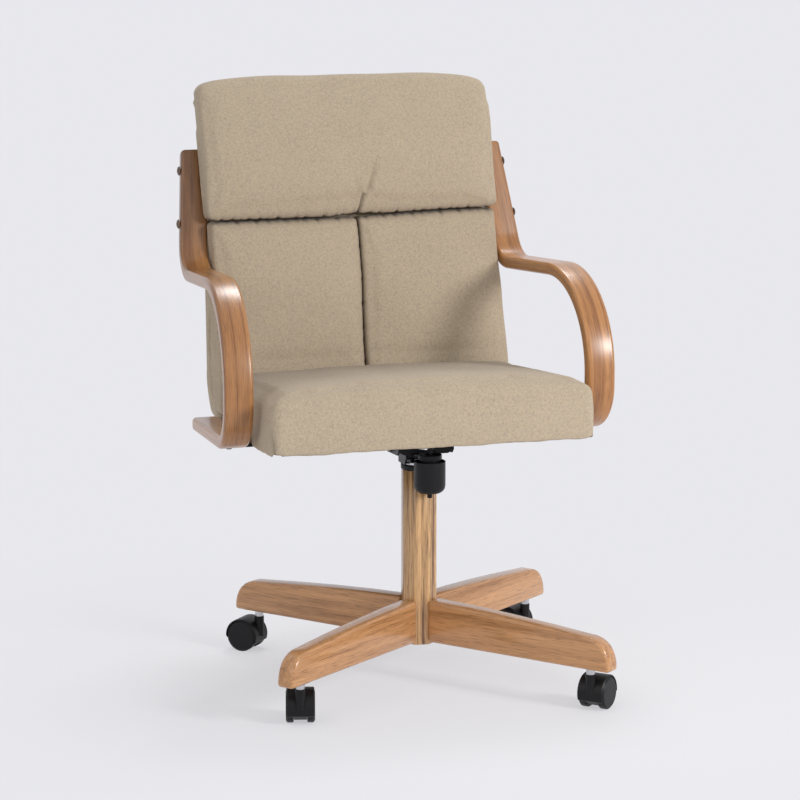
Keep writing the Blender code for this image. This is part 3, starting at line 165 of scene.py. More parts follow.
class ChairMetalSettings(bpy.types.PropertyGroup):
    black: colour_setting("Black", "Moulded plastic and enamel", (0.007, 0.007, 0.008))
    bright: colour_setting("Bright", "Plated steel", (0.62, 0.62, 0.64))


class ChairStudioSettings(bpy.types.PropertyGroup):
    paper: colour_setting("Paper", "Colour that the floor fades into", (0.806, 0.806, 0.846))
    key: power_setting("Key light", "Power of the light on the right", 56.0)
    fill: power_setting("Fill light", "Power of the light on the left", 12.5)
    top: power_setting("Top light", "Power of the high light behind", 26.0)
    sky: FloatProperty(
        name="Surround", description="Strength of the even light from all round",
        default=0.485, min=0, max=3)


# Meshes


def mesh_object(name, points, faces):
    """Puts arrays of points and faces into a new smooth object at the origin."""
    mesh = bpy.data.meshes.new(name)
    mesh.from_pydata(np.asarray(points).tolist(), [], [list(face) for face in faces])
    mesh.shade_smooth()
    obj = bpy.data.objects.new(name, mesh)
    bpy.context.scene.collection.objects.link(obj)
    return obj


def vectors_of(items, field):
    values = np.empty(len(items) * 3, dtype=np.float32)
    items.foreach_get(field, values)
    return values.reshape(-1, 3).astype(float)


def points_of(piece):
    return vectors_of(piece.data.vertices, "co")


def normals_of(piece):
    return vectors_of(piece.data.vertex_normals, "vector")


def move_points(piece, points):
    points = np.ascontiguousarray(points, dtype=np.float32)
    piece.data.vertices.foreach_set("co", points.ravel())
    piece.data.update()


def rounded_box(half, radius, step):
    """Six grids on the sides of a box, welded along its edges. Every point is then put at the
    radius from the box's core, which is the box shrunk by the radius, so the edges are round."""
    half = np.array(half)
    counts = np.maximum(4, np.round(2 * half / step).astype(int))
    blocks, quads, start = [], [], 0
    for axis in range(3):
        a, b = (axis + 1) % 3, (axis + 2) % 3
        u = np.linspace(-half[a], half[a], counts[a] + 1)
        v = np.linspace(-half[b], half[b], counts[b] + 1)
        for side in (-1, 1):
            block = np.empty((len(u), len(v), 3))
            block[..., axis] = side * half[axis]
            block[..., a] = u[:, None]
            block[..., b] = v[None, :]
            index = start + np.arange(len(u) * len(v)).reshape(len(u), len(v))
            quad = np.stack([index[:-1, :-1], index[1:, :-1], index[1:, 1:], index[:-1, 1:]], -1)
            quad = quad.reshape(-1, 4)
            quads.append(quad if side > 0 else quad[:, ::-1])
            blocks.append(block.reshape(-1, 3))
            start += len(u) * len(v)
    points, quads = np.concatenate(blocks), np.concatenate(quads)
    keys = np.round(points / 1e-6).astype(np.int64)
    first, place = np.unique(keys, axis=0, return_index=True, return_inverse=True)[1:]
    points, quads = points[first], place.reshape(-1)[quads]
    core = np.clip(points, radius - half, half - radius)
    out = points - core
    points = core + radius * out / np.linalg.norm(out, axis=1)[:, None]
    return points, quads


def ring_mesh(name, x, y, z, order=1, capped=True):
    """Rings of points, one to a row, with quads between them and a face over each end. An order
    of -1 turns the faces over, for a mirrored form."""
    points = np.stack([x, y, z], -1).reshape(-1, 3)
    index = np.arange(x.size).reshape(x.shape)
    following = np.roll(index, -1, axis=1)
    quads = np.stack([index[:-1], index[1:], following[1:], following[:-1]], -1).reshape(-1, 4)
    faces = quads[:, ::order].tolist()
    if capped:
        faces += [index[0][::order].tolist(), index[-1][::-order].tolist()]
    return mesh_object(name, points, faces)


def clamp(value):
    return np.clip(value, 0, 1)


def running_sum(values):
    return np.concatenate([[0], np.cumsum(values)])


def bell(value, width):
    """1 at 0, falling along exp(-(v/w)^2)."""
    return np.exp(-(value / width) ** 2)


def smooth_step(value, low, high):
    """Rises from 0 at low to 1 at high along 3t^2 - 2t^3."""
    t = clamp((value - low) / (high - low))
    return t * t * (3 - 2 * t)


# Shared lines of the chair, the same formulas as the solids use


def raked_z(y, rise):
    """World height, at a world Y, of a plane parallel to the seat and this far above the pivot."""
    slope = math.radians(SEAT_RAKE)
    return PIVOT_Z + rise / math.cos(slope) - y * math.tan(slope)


def arm_outside(y, z):
    """How far from the middle an arm's outer edge lies: it toes in to the rear and leans in above
    the armrest, with a short curve where the lean starts."""
    above = z - 0.645
    return 0.3152 - 0.064 * (y + 0.025) - 0.088 * 0.5 * (above + np.hypot(above, 0.010))


def upright_front(z):
    return ARM_TOP[0] - (ARM_TOP[1] - z) / math.tan(math.radians(-ARM_ANGLE))


def arm_inside(z):
    """The arm's inner edge on the upright, at its rear surface."""
    level = np.maximum(z, ARM_REST)
    rear = upright_front(level) + ARM_THICKNESS / math.sin(math.radians(-ARM_ANGLE))
    return arm_outside(rear, level) - ARM_WIDTH


def back_line(z):
    """Y of the back board's front face: steep from the seat, then parallel to the arms."""
    foot, foot_lean = 0.314, 0.125
    lean = 1 / math.tan(math.radians(-ARM_ANGLE))
    upper = upright_front(z) - 0.001
    lower = foot + foot_lean * (z - raked_z(foot, BOARD_TOP))
    soft = 0.22 * (lean - foot_lean) / 4
    return 0.5 * (upper + lower + np.sqrt((upper - lower) ** 2 + soft ** 2))


def shell_rear(z):
    """Y of the back's rear surface: upright behind the seat, leaning back above."""
    above = z - 0.62
    lean = 0.5 * (above + np.sqrt(above ** 2 + 0.06 ** 2))
    under = clamp((0.45 - z) / 0.08)
    return 0.4025 + 0.235 * lean - 0.045 * under ** 2


def back_front(z):
    """Y of the back's front face at its side edges, from the seat up to the top roll."""
    levels = [0.380, 0.450, 0.490, 0.550, 0.630, 0.704, 0.794, 0.840, 0.876, 0.921]
    places = [0.2700, 0.2715, 0.2810, 0.3010, 0.3230, 0.3390, 0.3560, 0.3700, 0.3880, 0.4100]
    return np.interp(z, levels, places)


# Cushions


def seat_points(x, y, z):
    """The seat: a box that follows the rake, crowned across its top, less towards the rear, with
    a front that leans back and swells a little, and sides that swell between their edges."""
    edge_height, edge_fall = 0.0840, 0.0050
    crown_height, crown_fall = 0.0180, 0.0110
    side_swell, front_swell, front_lean = 0.008, 0.004, 0.0085
    across = clamp(np.abs(x) / SEAT_BOX[0])
    along = clamp((y + SEAT_BOX[1]) / (SEAT_REAR + SEAT_FRONT))
    up = clamp((z + SEAT_BOX[2]) / (2 * SEAT_BOX[2]))
    bulge = np.sin(np.pi * up)
    crown = (crown_height - crown_fall * along) * (1 - 0.45 * np.exp(-along / 0.05))
    height = edge_height - edge_fall * along + crown * (1 - across ** 2.6)
    swell = 1 + side_swell * bulge - SEAT_TAPER * along
    new_y = y + SEAT_BOX[1] - SEAT_FRONT + front_lean * up * (1 - along)
    new_y -= front_swell * bulge * (1 - across ** 3) * np.exp(-along / 0.02)
    return np.column_stack([x * swell, new_y, raked_z(new_y, BOARD_BOTTOM) + height * up])


def places_in(half, middle, x, y, z):
    """The world height, and the share of the way to the rear and from the middle to a side."""
    return z + middle, (y + half[1]) / (2 * half[1]), clamp(np.abs(x) / half[0])


def panel_points(half, sign, bottom, x, y, z):
    """A lower back panel: it follows the board behind, swells forwards between its edges, and is
    a little wider below the armrest."""
    seat_top = 0.475
    level, share, across = places_in(half, (SEAM + bottom) / 2, x, y, z)
    high = clamp((level - seat_top) / (SEAM - seat_top))
    crown = 0.0110 * (1 - across ** 2.4) * np.sin(np.pi * high ** 0.8)
    front = back_front(level) - crown
    rear = back_line(level) - CLEAR
    widen = 1 + 0.014 * clamp((ARM_REST - level) / 0.05)
    place = sign * (x + SEAM_GAP + half[0]) * widen
    return np.column_stack([place, front + (rear - front) * share, level])


def pillow_points(half, bottom, x, y, z):
    """The upper pillow: it follows the board behind, steps back over the board's top, swells
    forwards most above its lower edge, and falls off to the rear and the sides on top."""
    level, share, across = places_in(half, (PILLOW_TOP + bottom) / 2, x, y, z)
    up = clamp((level - bottom) / (PILLOW_TOP - bottom))
    crown = 0.0140 * (1 - across ** 2.6) * np.sin(np.pi * up ** 0.7)
    front = back_front(level) - crown
    reach = smooth_step(level, BOARD_END, BOARD_END + 0.016)
    inner = back_line(level) - CLEAR
    rear = inner + (shell_rear(level) - inner) * reach
    over = clamp((level - BOARD_END) / (PILLOW_TOP - BOARD_END))
    narrow = 1 - 0.003 * (1 - up) - 0.040 * share ** 1.5 * clamp(2 * over)
    fall = (0.013 * share ** 2 + 0.005 * across ** 3 + 0.014 * across ** 11) * over
    return np.column_stack([x * narrow, front + (rear - front) * share, level - fall])


def shell_points(half, x, y, z):
    """The outer back: between the arms, from the board's sides round its rear, with a slight
    crown behind."""
    level, share, across = places_in(half, (SHELL_TOP + SHELL_BOTTOM) / 2, x, y, z)
    up = clamp(z / half[2] / 2 + 0.5)
    crown = 0.006 * (1 - across ** 3) * np.sin(np.pi * up)
    narrow = np.minimum(half[0], arm_inside(level) - CLEAR) / half[0]
    front = back_line(level)
    rear = shell_rear(level) + crown
    return np.column_stack([x * narrow, front + (rear - front) * share, level])


def bake(piece):
    """Puts the shape that the modifiers make into the mesh and takes them off."""
    graph = bpy.context.evaluated_depsgraph_get()
    shaped = bpy.data.meshes.new_from_object(piece.evaluated_get(graph), depsgraph=graph)
    piece.modifiers.clear()
    piece.vertex_groups.clear()
    piece.data = shaped


def room_round(x, side, front, rear, down, up):
    """The lowest and highest move of each point. The side's room is outwards, and inwards a point
    may move by the slack."""
    slack = 0.003
    ones = np.ones_like(x)
    low = np.column_stack([np.where(x > 0, -slack, -side), -front * ones, -down * ones])
    high = np.column_stack([np.where(x > 0, side, slack), rear * ones, up * ones])
    return low, high


def inflate(piece, held, room, pressure):
    """Swells a cushion: the cloth that isn't held is drawn in along its normals by the inset and
    blown up. Each point then ends at its first place plus its move, which is kept between the
    room's lowest and highest values."""
    inset = 0.003
    first = points_of(piece)
    move_points(piece, first - normals_of(piece) * inset * ~held[:, None])
    group = piece.vertex_groups.new(name="held")
    group.add(np.flatnonzero(held).tolist(), 1.0, "REPLACE")
    cloth = piece.modifiers.new("cloth", "CLOTH")
    for name, value in CLOTH.items():
        setattr(cloth.settings, name, value)
    cloth.settings.uniform_pressure_force = pressure
    cloth.settings.effector_weights.gravity = 0
    cloth.collision_settings.use_collision = False
    cloth.collision_settings.use_self_collision = False
    cloth.point_cache.frame_start = 1
    cloth.point_cache.frame_end = FRAMES
    scene = bpy.context.scene
    for moment in range(1, FRAMES + 1):
        scene.frame_set(moment)
    bake(piece)
    scene.frame_set(1)
    move = np.clip(points_of(piece) - first, *room)
    move_points(piece, first + move)


def refine(piece):
    """Cuts each face in four on a subdivision surface."""
    step = piece.modifiers.new("finer", "SUBSURF")
    step.levels = step.render_levels = 1
    bake(piece)
    piece.data.shade_smooth()


def swollen(name, shaped, faces, held, room, pressure):
    """Makes a cushion's cover, swells it and makes it finer. The room is how far a point may move
    to the side, to the front, to the rear, down and up."""
    cover = mesh_object(name, shaped, faces)
    inflate(cover, held, room_round(shaped[:, 0], *room), pressure)
    refine(cover)
    return cover


def line_distance(u, v, line):
    """Distance of each point from a line of corners, and how far along the line, from 0 to 1, its
    nearest place is."""
    corners = np.array(line, dtype=float)
    lengths = np.hypot(*np.diff(corners, axis=0).T)
    starts = running_sum(lengths)
    nearest, share = np.full(u.shape, 9.0), np.zeros(u.shape)
    for a, b, length, start in zip(corners[:-1], corners[1:], lengths, starts):
        t = clamp(((u - a[0]) * (b[0] - a[0]) + (v - a[1]) * (b[1] - a[1])) / length ** 2)
        away = np.hypot(u - a[0] - t * (b[0] - a[0]), v - a[1] - t * (b[1] - a[1]))
        closer = away < nearest
        nearest = np.where(closer, away, nearest)
        share = np.where(closer, (start + t * length) / starts[-1], share)
    return nearest, share


def fold(distance, width):
    """A sewn or pressed line: a bell, with a low lip 2.2 widths away on each side."""
    return bell(distance, width) - 0.28 * bell(distance - 2.2 * width, 1.3 * width)


def gathers(place, seed, spacing):
    """Small pleats along a seam: the positive part of a sum of three sines whose spacings share
    no factor, so that they are uneven."""
    turn = 2 * np.pi * place / spacing
    total = np.sin(turn + seed) + 0.7 * np.sin(0.618 * turn + 2.1 * seed)
    total += 0.5 * np.sin(1.47 * turn + 3.7 * seed)
    return np.clip(total, 0, None) / 2.2


def unevenness(points, seed, spacing):
    """A slow wave in all directions: the mean of sines of three tilted planes."""
    turn = 2 * np.pi / spacing
    x, y, z = points.T
    total = np.sin(turn * (x + 0.4 * z) + seed) + np.sin(turn * (0.8 * z - 0.5 * x) + 2.3 * seed)
    return (total + np.sin(turn * (0.6 * y + 0.5 * x + 0.5 * z) + 3.1 * seed)) / 3


def emboss(piece, height):
    """Moves each point along its normal."""
    move_points(piece, points_of(piece) + normals_of(piece) * height[:, None])


def tint(piece, name, values, kind="FLOAT", field="value"):
    """Keeps a number or a vector for each point, for the piece's material."""
    made = piece.data.attributes.new(name, kind, "POINT")
    made.data.foreach_set(field, np.ascontiguousarray(values, dtype=np.float32).ravel())


def front_share(y, z):
    """1 on the front of the back's cushions, falling to 0 at 6 mm before the board."""
    return clamp((back_line(z) - 0.006 - y) / 0.012)


# Materials


def add_node(tree, kind, sockets=None, **settings):
    """Adds a node. A socket in the sockets is linked, and any other value is set."""
    made = tree.nodes.new(kind)
    for name, value in settings.items():
        setattr(made, name, value)
    for name, value in (sockets or {}).items():
        if isinstance(value, bpy.types.NodeSocket):
            tree.links.new(value, made.inputs[name])
        else:
            made.inputs[name].default_value = value
    return made


def object_place(tree):
    return add_node(tree, "ShaderNodeTexCoord").outputs["Object"]


def maths(tree, operation, *values):
    return add_node(tree, "ShaderNodeMath", dict(enumerate(values)), operation=operation).outputs[0]


def vector_maths(tree, operation, *values):
    """The vector result, or the number for a length or a dot product."""
    made = add_node(tree, "ShaderNodeVectorMath", dict(enumerate(values)), operation=operation)
    return made.outputs["Value" if operation in ("LENGTH", "DOT_PRODUCT") else "Vector"]


def mixed_colour(tree, factor, first, second, blend="MULTIPLY"):
    sockets = {"Factor": factor, 6: first, 7: second}
    return add_node(tree, "ShaderNodeMix", sockets, data_type="RGBA", blend_type=blend).outputs[2]


def faded(tree, value, start, end, low):
    """Rises smoothly from low to 1 as the value goes from start to end."""
    sockets = {"Value": value, "From Min": start, "From Max": end, "To Min": low}
    return add_node(tree, "ShaderNodeMapRange", sockets, interpolation_type="SMOOTHSTEP").outputs[0]


def mix_surface(tree, output, share, first, second):
    mixed = add_node(tree, "ShaderNodeMixShader", {0: share, 1: first, 2: second})
    tree.links.new(mixed.outputs[0], tree.nodes[output].inputs["Surface"])


def scaled(tree, vector, size, shift=(0, 0, 0), turn=0.0):
    """The coordinates turned about Z so that X runs along the grain, then stretched by one size
    or by three."""
    if turn:
        vector = add_node(tree, "ShaderNodeVectorRotate", {"Vector": vector, "Angle": turn},
                          rotation_type="Z_AXIS").outputs[0]
    size = size if isinstance(size, tuple) else (size, size, size)
    sockets = {"Vector": vector, "Location": shift, "Scale": size}
    return add_node(tree, "ShaderNodeMapping", sockets).outputs[0]


def noise(tree, vector, size, detail=2.0, distortion=0.0, roughness=0.5, **place):
    sockets = {"Vector": scaled(tree, vector, size, **place), "Scale": 1.0, "Detail": detail,
               "Distortion": distortion, "Roughness": roughness}
    return add_node(tree, "ShaderNodeTexNoise", sockets).outputs["Fac"]


def ramp(tree, value, stops):
    """A colour ramp from pairs of place and colour or grey."""
    made = add_node(tree, "ShaderNodeValToRGB", {"Fac": value})
    elements = made.color_ramp.elements
    while len(elements) < len(stops):
        elements.new(0.5)
    for element, (place, colour) in zip(elements, stops):
        element.position = place
        grey = isinstance(colour, (int, float))
        element.color = (colour, colour, colour, 1) if grey else (*colour, 1)
    return made.outputs["Color"]


def new_material(name, roughness, metallic=0.0):
    made = bpy.data.materials.new(name)
    made.use_nodes = True
    shader = made.node_tree.nodes["Principled BSDF"]
    shader.inputs["Roughness"].default_value = roughness
    shader.inputs["Metallic"].default_value = metallic
    return made, made.node_tree, shader


def give(tree, shader, name, socket):
    tree.links.new(socket, shader.inputs[name])


def bump(tree, shader, height, distance, strength):
    sockets = {"Height": height, "Distance": distance, "Strength": strength}
    give(tree, shader, "Normal", add_node(tree, "ShaderNodeBump", sockets).outputs[0])


def cloth_material(settings):
    """Plain weave on Object coordinates: sine threads in the two directions that lie in the
    surface, picked by the normal, with flecks of light and dark yarn, mottled colour and a soft
    sheen. A point attribute is 1 where shade is painted, in seams, creases, folds, under the hem
    and on the shaded rear of the seat's top, and 0 elsewhere. It darkens the cloth there towards
    brown as painted shade."""
    made, tree, shader = new_material("beige_weave", 0.92)
    source = add_node(tree, "ShaderNodeTexCoord").outputs
    place, normal = source["Object"], source["Normal"]
    wobble = add_node(tree, "ShaderNodeTexNoise", {"Vector": place, "Scale": 90.0, "Detail": 2.0})
    phase = vector_maths(tree, "MULTIPLY_ADD", wobble.outputs["Color"], (3.0, 3.0, 3.0),
                         scaled(tree, place, math.pi / settings.thread))
    sines = vector_maths(tree, "SINE", phase)
    parts = add_node(tree, "ShaderNodeSeparateXYZ", {"Vector": sines}).outputs
    pairs = [maths(tree, "MULTIPLY", parts[a], parts[b]) for a, b in ((1, 2), (2, 0), (0, 1))]
    crossed = add_node(tree, "ShaderNodeCombineXYZ", dict(enumerate(pairs))).outputs[0]
    facing = vector_maths(tree, "MULTIPLY", normal, normal)
    weave = vector_maths(tree, "DOT_PRODUCT", crossed, facing)
    weave = maths(tree, "MULTIPLY_ADD", weave, 0.5, 0.5)
    coarse = noise(tree, place, 430, roughness=0.75)
    fuzz = noise(tree, place, 900, roughness=0.65)
    cloud = noise(tree, place, 11, 4.0)
    mix = maths(tree, "MULTIPLY_ADD", coarse, 0.70, maths(tree, "MULTIPLY", weave, 0.22))
    mix = maths(tree, "MULTIPLY_ADD", fuzz, 0.30, mix)
    mix = maths(tree, "MULTIPLY_ADD", cloud, 0.10, mix)
    pale = tuple(1.10 * c for c in settings.colour)
    colour = ramp(tree, mix, [(0.46, tuple(settings.dark)), (0.66, tuple(settings.colour)),
                              (0.84, pale)])
    flecks = ramp(tree, noise(tree, place, 260, shift=(3, 1, 2)),
                  [(0.32, (0.90, 0.89, 0.92)), (0.5, 1.0), (0.68, (1.07, 1.05, 1.01))])
    colour = mixed_colour(tree, 1.0, colour, flecks)
    # Painted shade: this attribute mixes the cloth towards deep brown where shade falls in seams,
    # creases and folds, under the hem and in the back's shadow.
    painted_shade = add_node(tree, "ShaderNodeAttribute", attribute_name="painted_shade").outputs["Fac"]
    shade_share = maths(tree, "MULTIPLY", painted_shade, maths(tree, "MULTIPLY_ADD", coarse, 1.1, 0.25))
    give(tree, shader, "Base Color",
         mixed_colour(tree, shade_share, colour, (0.085, 0.060, 0.042, 1), "MIX"))
    height = maths(tree, "MULTIPLY_ADD", coarse, 0.8, maths(tree, "MULTIPLY", weave, 0.5))
    bump(tree, shader, height, 0.0007, 0.8)
    shader.inputs["Sheen Weight"].default_value = 0.15
    shader.inputs["Sheen Roughness"].default_value = 0.5
    shader.inputs["Specular IOR Level"].default_value = 0.2
    return made


def oak_material(name, colours, roughness, seed, along=0, turn=0.0, attribute="", stripes=1.0,
                 spread=0.11, coat=0.09, upright_shade=1.0):
    """Lacquered oak. Bands, streaks, fibres and short dark pores are noise that is stretched along
    the grain's axis, on Object coordinates turned to the board, or on a strip's own grain
    attribute. The spread is half the range of the summed noise between dark and light. An
    upright shade below 1 is painted shade: it darkens the first 0.12 m of a strip, the arm's
    upright, and fades out by 0.22 m."""
    made, tree, shader = new_material(name, roughness)
    if attribute:
        source = add_node(tree, "ShaderNodeAttribute", attribute_name=attribute).outputs["Vector"]
    else:
        source = object_place(tree)

    def grain(length, width, detail, distortion=0.0):
        size = tuple(length if axis == along else width for axis in range(3))
        return noise(tree, source, size, detail, distortion,
                     shift=(seed, seed * 1.7, seed * 0.6), turn=turn)

    streak = grain(2.6, 110 * stripes, 3.0, 0.5)
    band = grain(1.6, 34 * stripes, 2.0, 1.4)
    fibre = grain(16, 560, 3.0, 0.2)
    pore = grain(42, 950, 1.0)
    mix = maths(tree, "MULTIPLY_ADD", streak, 0.42, maths(tree, "MULTIPLY", band, 0.30))
    mix = maths(tree, "MULTIPLY_ADD", fibre, 0.28, mix)
    light, dark = (tuple(colour) for colour in colours)
    middle = tuple(0.60 * a + 0.40 * b for a, b in zip(light, dark))
    pale = tuple(1.12 * c for c in light)
    colour = ramp(tree, mix, [(0.5 - spread, dark), (0.5 - 0.25 * spread, middle),
                              (0.5 + 0.55 * spread, light), (0.5 + 1.3 * spread, pale)])
    pores = ramp(tree, pore, [(0.33, 0.66), (0.44, 1.0)])
    colour = mixed_colour(tree, 1.0, colour, pores)
    # Painted shade on the arm's upright, which gets less of the key light.
    if upright_shade < 1:
        reach = add_node(tree, "ShaderNodeSeparateXYZ", {"Vector": source}).outputs["X"]
        colour = mixed_colour(tree, 1.0, colour, faded(tree, reach, 0.12, 0.22, upright_shade))
    give(tree, shader, "Base Color", colour)
    height = maths(tree, "MULTIPLY_ADD", pores, 0.5, maths(tree, "MULTIPLY", fibre, 0.4))
    bump(tree, shader, height, 0.0003, 0.35)
    shader.inputs["Coat Weight"].default_value = 0.6
    shader.inputs["Coat Roughness"].default_value = coat
    shader.inputs["Specular IOR Level"].default_value = 0.4
    return made


def plain_material(name, colour, roughness, metallic, grain, depth):
    """Plastic, steel, lining or plywood: an even colour with a fine uneven surface."""
    made, tree, shader = new_material(name, roughness, metallic)
    place = object_place(tree)
    fine = noise(tree, place, grain, 3.0)
    broad = noise(tree, place, 40)
    low = tuple(0.82 * c for c in colour)
    give(tree, shader, "Base Color", ramp(tree, broad, [(0.3, low), (0.7, tuple(colour))]))
    spread = maths(tree, "MULTIPLY_ADD", fine, 0.16, roughness - 0.08)
    give(tree, shader, "Roughness", spread)
    bump(tree, shader, fine, depth, 0.4)
    shader.inputs["Specular IOR Level"].default_value = 0.5 if metallic > 0.5 else 0.25
    return made


def seen_rays(tree):
    """1 for the rays that show the background: from the camera, a reflection or glass."""
    path = add_node(tree, "ShaderNodeLightPath").outputs
    either = maths(tree, "MAXIMUM", path["Is Camera Ray"], path["Is Glossy Ray"])
    return maths(tree, "MAXIMUM", either, path["Is Transmission Ray"])


def finish_with(obj, material):
    obj.data.materials.clear()
    obj.data.materials.append(material)
    obj.data.polygons.foreach_set("material_index", np.zeros(len(obj.data.polygons), dtype=int))


def finish_finer(piece, material, node):
    """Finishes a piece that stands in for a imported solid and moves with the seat."""
    finish_with(piece, bpy.data.materials[material])
    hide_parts(node)
    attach(piece, "seat")


def finish_cover(cover, node):
    finish_finer(cover, "beige_weave", node)


# Operators


class MakeSeat(bpy.types.Operator):
    """Makes the padded seat"""
    bl_idname = "chair.make_seat"
    bl_label = "Seat cushion"

    def execute(self, context):
        plan, faces = rounded_box(SEAT_BOX, 0.018, context.scene.chair_cloth.step)
        cover = swollen("seat_cover", seat_points(*plan.T), faces,
                        plan[:, 2] < HELD_DEPTH - SEAT_BOX[2],
                        (0.0010, 0.004, 0.0004, 0.002, 0.004), 4.0)
        self.stitch(cover)
        finish_cover(cover, "seat_cushion")
        return {"FINISHED"}

    @staticmethod
    def stitch(cover):
        """The front's rolled top edge over a shallow channel, a seam down each front corner, a
        soft unevenness, and a hem round the bottom that drops past the lining in slow waves, less
        at the corners. Painted shade darkens the corner seams, the hem's underside and the rear of
        the top, where the shadow of the back and the arms falls."""
        x, y, z = points_of(cover).T
        up = z - raked_z(y, BOARD_BOTTOM)
        front = np.exp(-np.clip(y + 0.0885, 0, None) / 0.006)
        channel = bell(up - 0.064, 0.0055) * front
        roll = bell(up - 0.082, 0.009) * bell(y + 0.089, 0.014)
        corner, share = line_distance(np.abs(x), up, [(0.2535, 0.0), (0.2565, 0.022),
                                                      (0.2600, 0.046)])
        sewn = fold(corner, 0.0016) * (1 - share) ** 0.5 * np.exp(-((y + 0.089) / 0.012) ** 4)
        wave = unevenness(points_of(cover), 1.7, 0.11) * clamp(up / 0.03)
        emboss(cover, 0.0026 * roll - 0.0022 * channel - 0.0018 * sewn + 0.0011 * wave)
        x, y, z = points_of(cover).T
        up = z - raked_z(y, BOARD_BOTTOM)
        hem = 0.018
        share = clamp(up / hem)
        tight = np.where(up < hem, hem * share ** 2.4 + np.minimum(up, 0), up)
        along = (y + SEAT_FRONT) / (SEAT_FRONT + SEAT_REAR)
        wide = SEAT_BOX[0] * (1 - SEAT_TAPER * clamp(along))
        out = np.maximum(np.abs(x) - np.maximum(wide - 0.0060, 0.2440), -0.0895 - y)
        slow = np.sin(2 * np.pi * (x + 0.6 * y) / 0.085 + 0.6)
        slow += 0.5 * np.sin(2 * np.pi * (x - y) / 0.031)
        corner = bell(np.hypot(wide - np.abs(x), y + SEAT_FRONT), 0.016)
        hang = smooth_step(out, 0.0, 0.0030) * (1 - share) * (0.0100 + 0.0011 * slow)
        hang *= 1 - 0.6 * corner
        move_points(cover, np.column_stack([x, y, z + tight - up - hang]))
        # Painted shade: the cover darkens over its lowest 10 mm and on its underside, under the
        # seat.
        low = clamp(1 - up / 0.010) * 0.35
        # Painted shadow: the rear of the seat's top darkens where the shadow of the back and the
        # arms falls.
        back_shadow = 0.34 * smooth_step(y, -0.05, 0.12) * smooth_step(up, 0.060, 0.080)
        tint(cover, "painted_shade", clamp(0.9 * sewn) * 0.6 + low + back_shadow)


